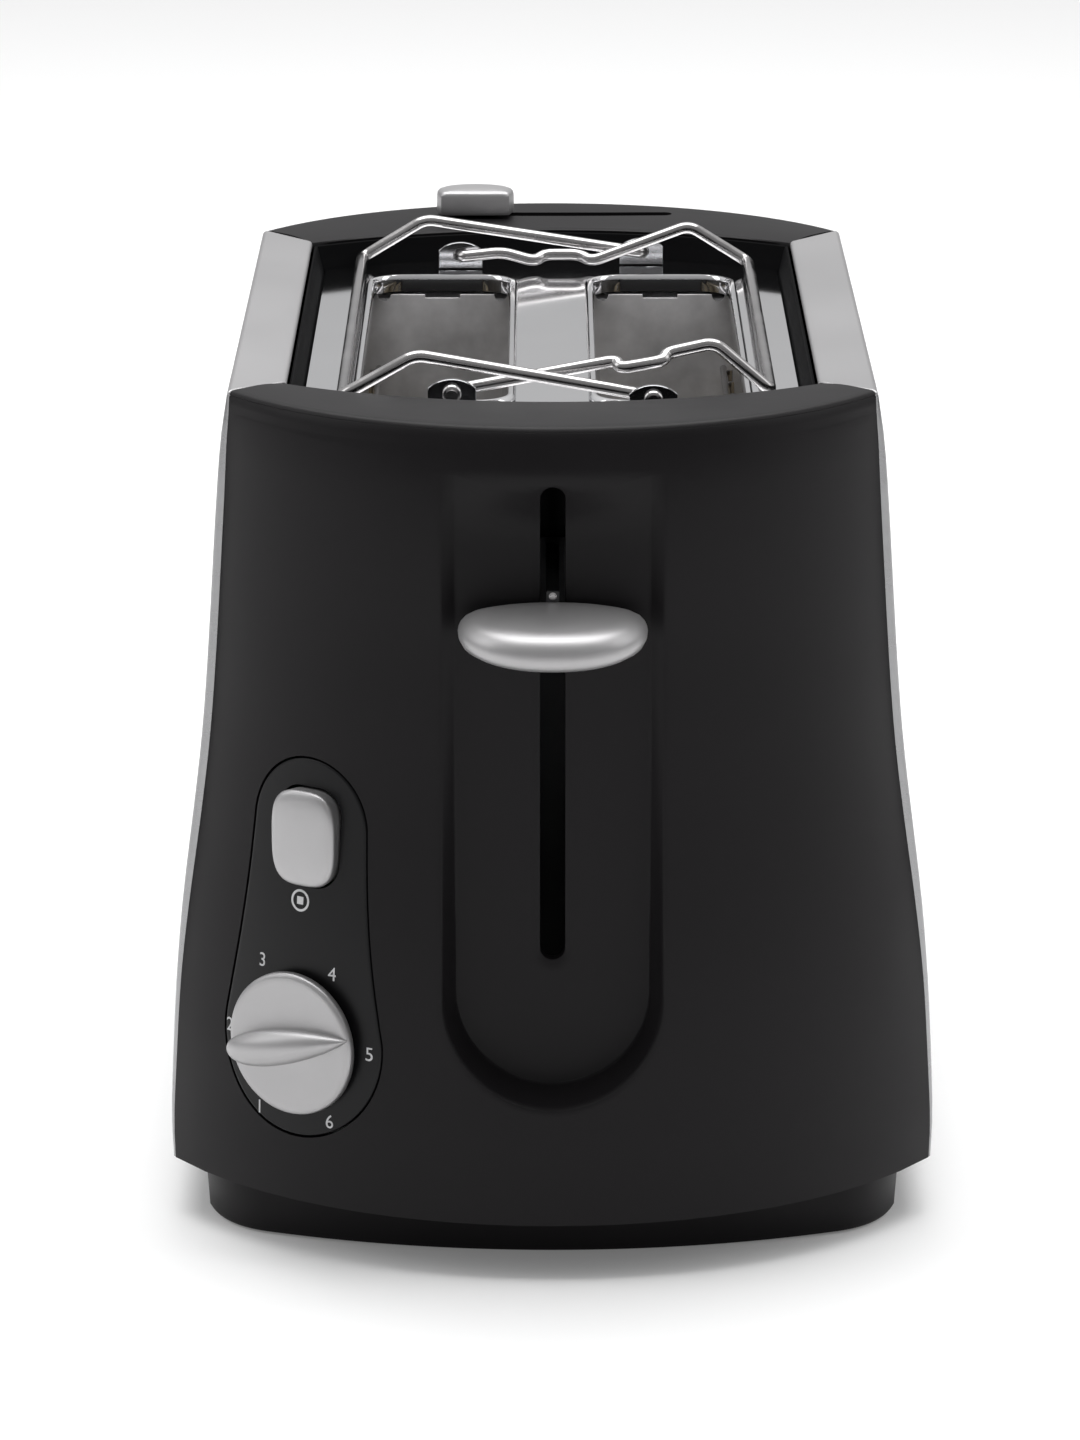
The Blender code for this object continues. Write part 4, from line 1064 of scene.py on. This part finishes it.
def make_base():
    section = ((-4.0, 2.0), (-3.8, 0.7), (-3.2, 0.4), (-1.4, 0.4), (-0.7, 0.7), (-0.3, 1.5), (0.6, 15.0),
               (0.6, 20.0), (-1.9, 20.0), (-2.5, 5.0))
    rings = [[(x, y, z) for x, y in base_outline(outward)] for outward, z in section]
    base = raw_object("base_shell", loft(rings))
    for sx in (-1, 1):
        for sy in (-1, 1):
            place = (sx * 66.0, sy * 60.0, 0)
            carve(base, turned(((5.0, 4.2), (5.0, 20.7)), place, (0, 0, 1)), "UNION")
            carve(base, turned(((3.9, 0.0), (3.9, 4.6), (2.0, 4.6), (2.0, 22.0)), place, (0, 0, 1)))
    carve(base, box((-55.6, 55.6), (110, 140), (4.9, 12.5)))
    carve(base, turned(((3.8, 105), (3.8, 130)), (-64.0, 0, 8.0), (0, 1, 0)))
    dress(base, "black_plastic", "housing", "black_shell", ("base_tray",), sharp=32)


def dress_frame():
    """Materials for the sub-parts whose shape comes straight from the frame."""
    groups = {
        "galvanised": ("chassis_base", "heat_shield_left", "heat_shield_right", "bread_lifter_left",
                       "bread_lifter_right", "electromagnet", "dial_shaft", "crumb_tray",
                       "base_screw_front_left", "base_screw_front_right", "base_screw_rear_left",
                       "base_screw_rear_right"),
        # Near-black steel on the carriage parts is painted shade.
        "steel_painted_shade": ("carriage_bracket", "lever_arm", "armature_plate", "lift_spring"),
        "chrome_wire": ("guide_rod",),
        "black_steel": ("rack_slider", "potentiometer", "stop_switch"),
        "mica": ("heater_board_left", "heater_board_centre", "heater_board_right"),
        "heating_wire": ("heating_element_left", "heating_element_centre_left",
                         "heating_element_centre_right", "heating_element_right"),
        "rubber": ("foot_front_left", "foot_front_right", "foot_rear_left", "foot_rear_right",
                   "cord_gland"),
        "circuit": ("circuit_board",),
    }
    for name, members in groups.items():
        for member in members:
            mesh = NODES[member].data
            mesh.materials.clear()
            mesh.materials.append(MATERIALS[name])


# Studio

def area_light(name, place, target, size, power):
    data = bpy.data.lights.new(name, "AREA")
    data.shape = "RECTANGLE"
    data.size, data.size_y = size
    data.energy = power
    light = bpy.data.objects.new(name, data)
    bpy.context.collection.objects.link(light)
    light.location = Vector(place)
    light.rotation_mode = "QUATERNION"
    light.rotation_quaternion = (Vector(target) - Vector(place)).to_track_quat("-Z", "Y")


def make_studio():
    world = bpy.data.worlds.new("studio")
    bpy.context.scene.world = world
    world.use_nodes = True
    tree = world.node_tree
    place = tree.nodes.new("ShaderNodeTexCoord")
    axes = tree.nodes.new("ShaderNodeSeparateXYZ")
    tree.links.new(place.outputs["Generated"], axes.inputs["Vector"])
    height = tree.nodes.new("ShaderNodeValToRGB")
    height.color_ramp.elements[0].position = 0.02
    height.color_ramp.elements[0].color = (0.22, 0.22, 0.225, 1)
    height.color_ramp.elements[1].position = 0.9
    height.color_ramp.elements[1].color = (0.85, 0.85, 0.85, 1)
    middle = height.color_ramp.elements.new(0.26)
    middle.color = (0.60, 0.60, 0.605, 1)
    tree.links.new(axes.outputs["Z"], height.inputs["Fac"])
    depth = tree.nodes.new("ShaderNodeMapRange")
    depth.inputs["From Min"].default_value = -0.5
    depth.inputs["From Max"].default_value = 0.3
    depth.inputs["To Min"].default_value = 0.5
    depth.inputs["To Max"].default_value = 1.0
    tree.links.new(axes.outputs["Y"], depth.inputs["Value"])
    tree.links.new(height.outputs["Color"], tree.nodes["Background"].inputs["Color"])
    tree.links.new(depth.outputs["Result"], tree.nodes["Background"].inputs["Strength"])
    floor = bpy.data.meshes.new("floor")
    reach = 14.0
    corners = [(-reach, -reach, 0), (reach, -reach, 0), (reach, reach, 0), (-reach, reach, 0)]
    floor.from_pydata(corners, [], [(0, 1, 2, 3)])
    ground = bpy.data.objects.new("floor", floor)
    bpy.context.collection.objects.link(ground)
    made, shader = shader_of("floor", (0.86, 0.86, 0.86), 0.9)
    shader.inputs["Emission Color"].default_value = (1, 1, 1, 1)
    shader.inputs["Emission Strength"].default_value = 0.12
    ground.data.materials.append(made)
    area_light("overhead", (0.0, 0.3, 1.7), (0, 0, 0.1), (1.8, 1.6), 34)
    area_light("left", (-1.6, -0.2, 1.1), (0, 0, 0.12), (0.9, 1.2), 5)
    area_light("right", (1.6, -0.1, 1.1), (0, 0, 0.12), (0.9, 1.2), 4)


def make_camera():
    """Long lens, a little above the lever end, level from side to side."""
    pitch = math.radians(14.74)
    data = bpy.data.cameras.new("camera")
    data.lens = 162.5
    data.sensor_width = 36.0
    data.clip_start = 0.05
    data.clip_end = 60.0
    camera = bpy.data.objects.new("camera", data)
    bpy.context.collection.objects.link(camera)
    camera.location = (-0.0029, (-1574 + SET_BACK) / 1000, 0.5085)
    camera.rotation_euler = Euler((math.pi / 2 - pitch, 0, 0))
    bpy.context.scene.camera = camera


make_camera()
make_front_cap()
make_insert()
make_rear_cap()
make_panels()
make_top()
make_end_plates()
make_guards()
make_lever_knob()
make_stop_button()
make_browning_dial()
make_print()
make_rack()
make_rack_knob()
make_base()
dress_frame()
make_studio()
bpy.context.scene.view_settings.view_transform = "Standard"
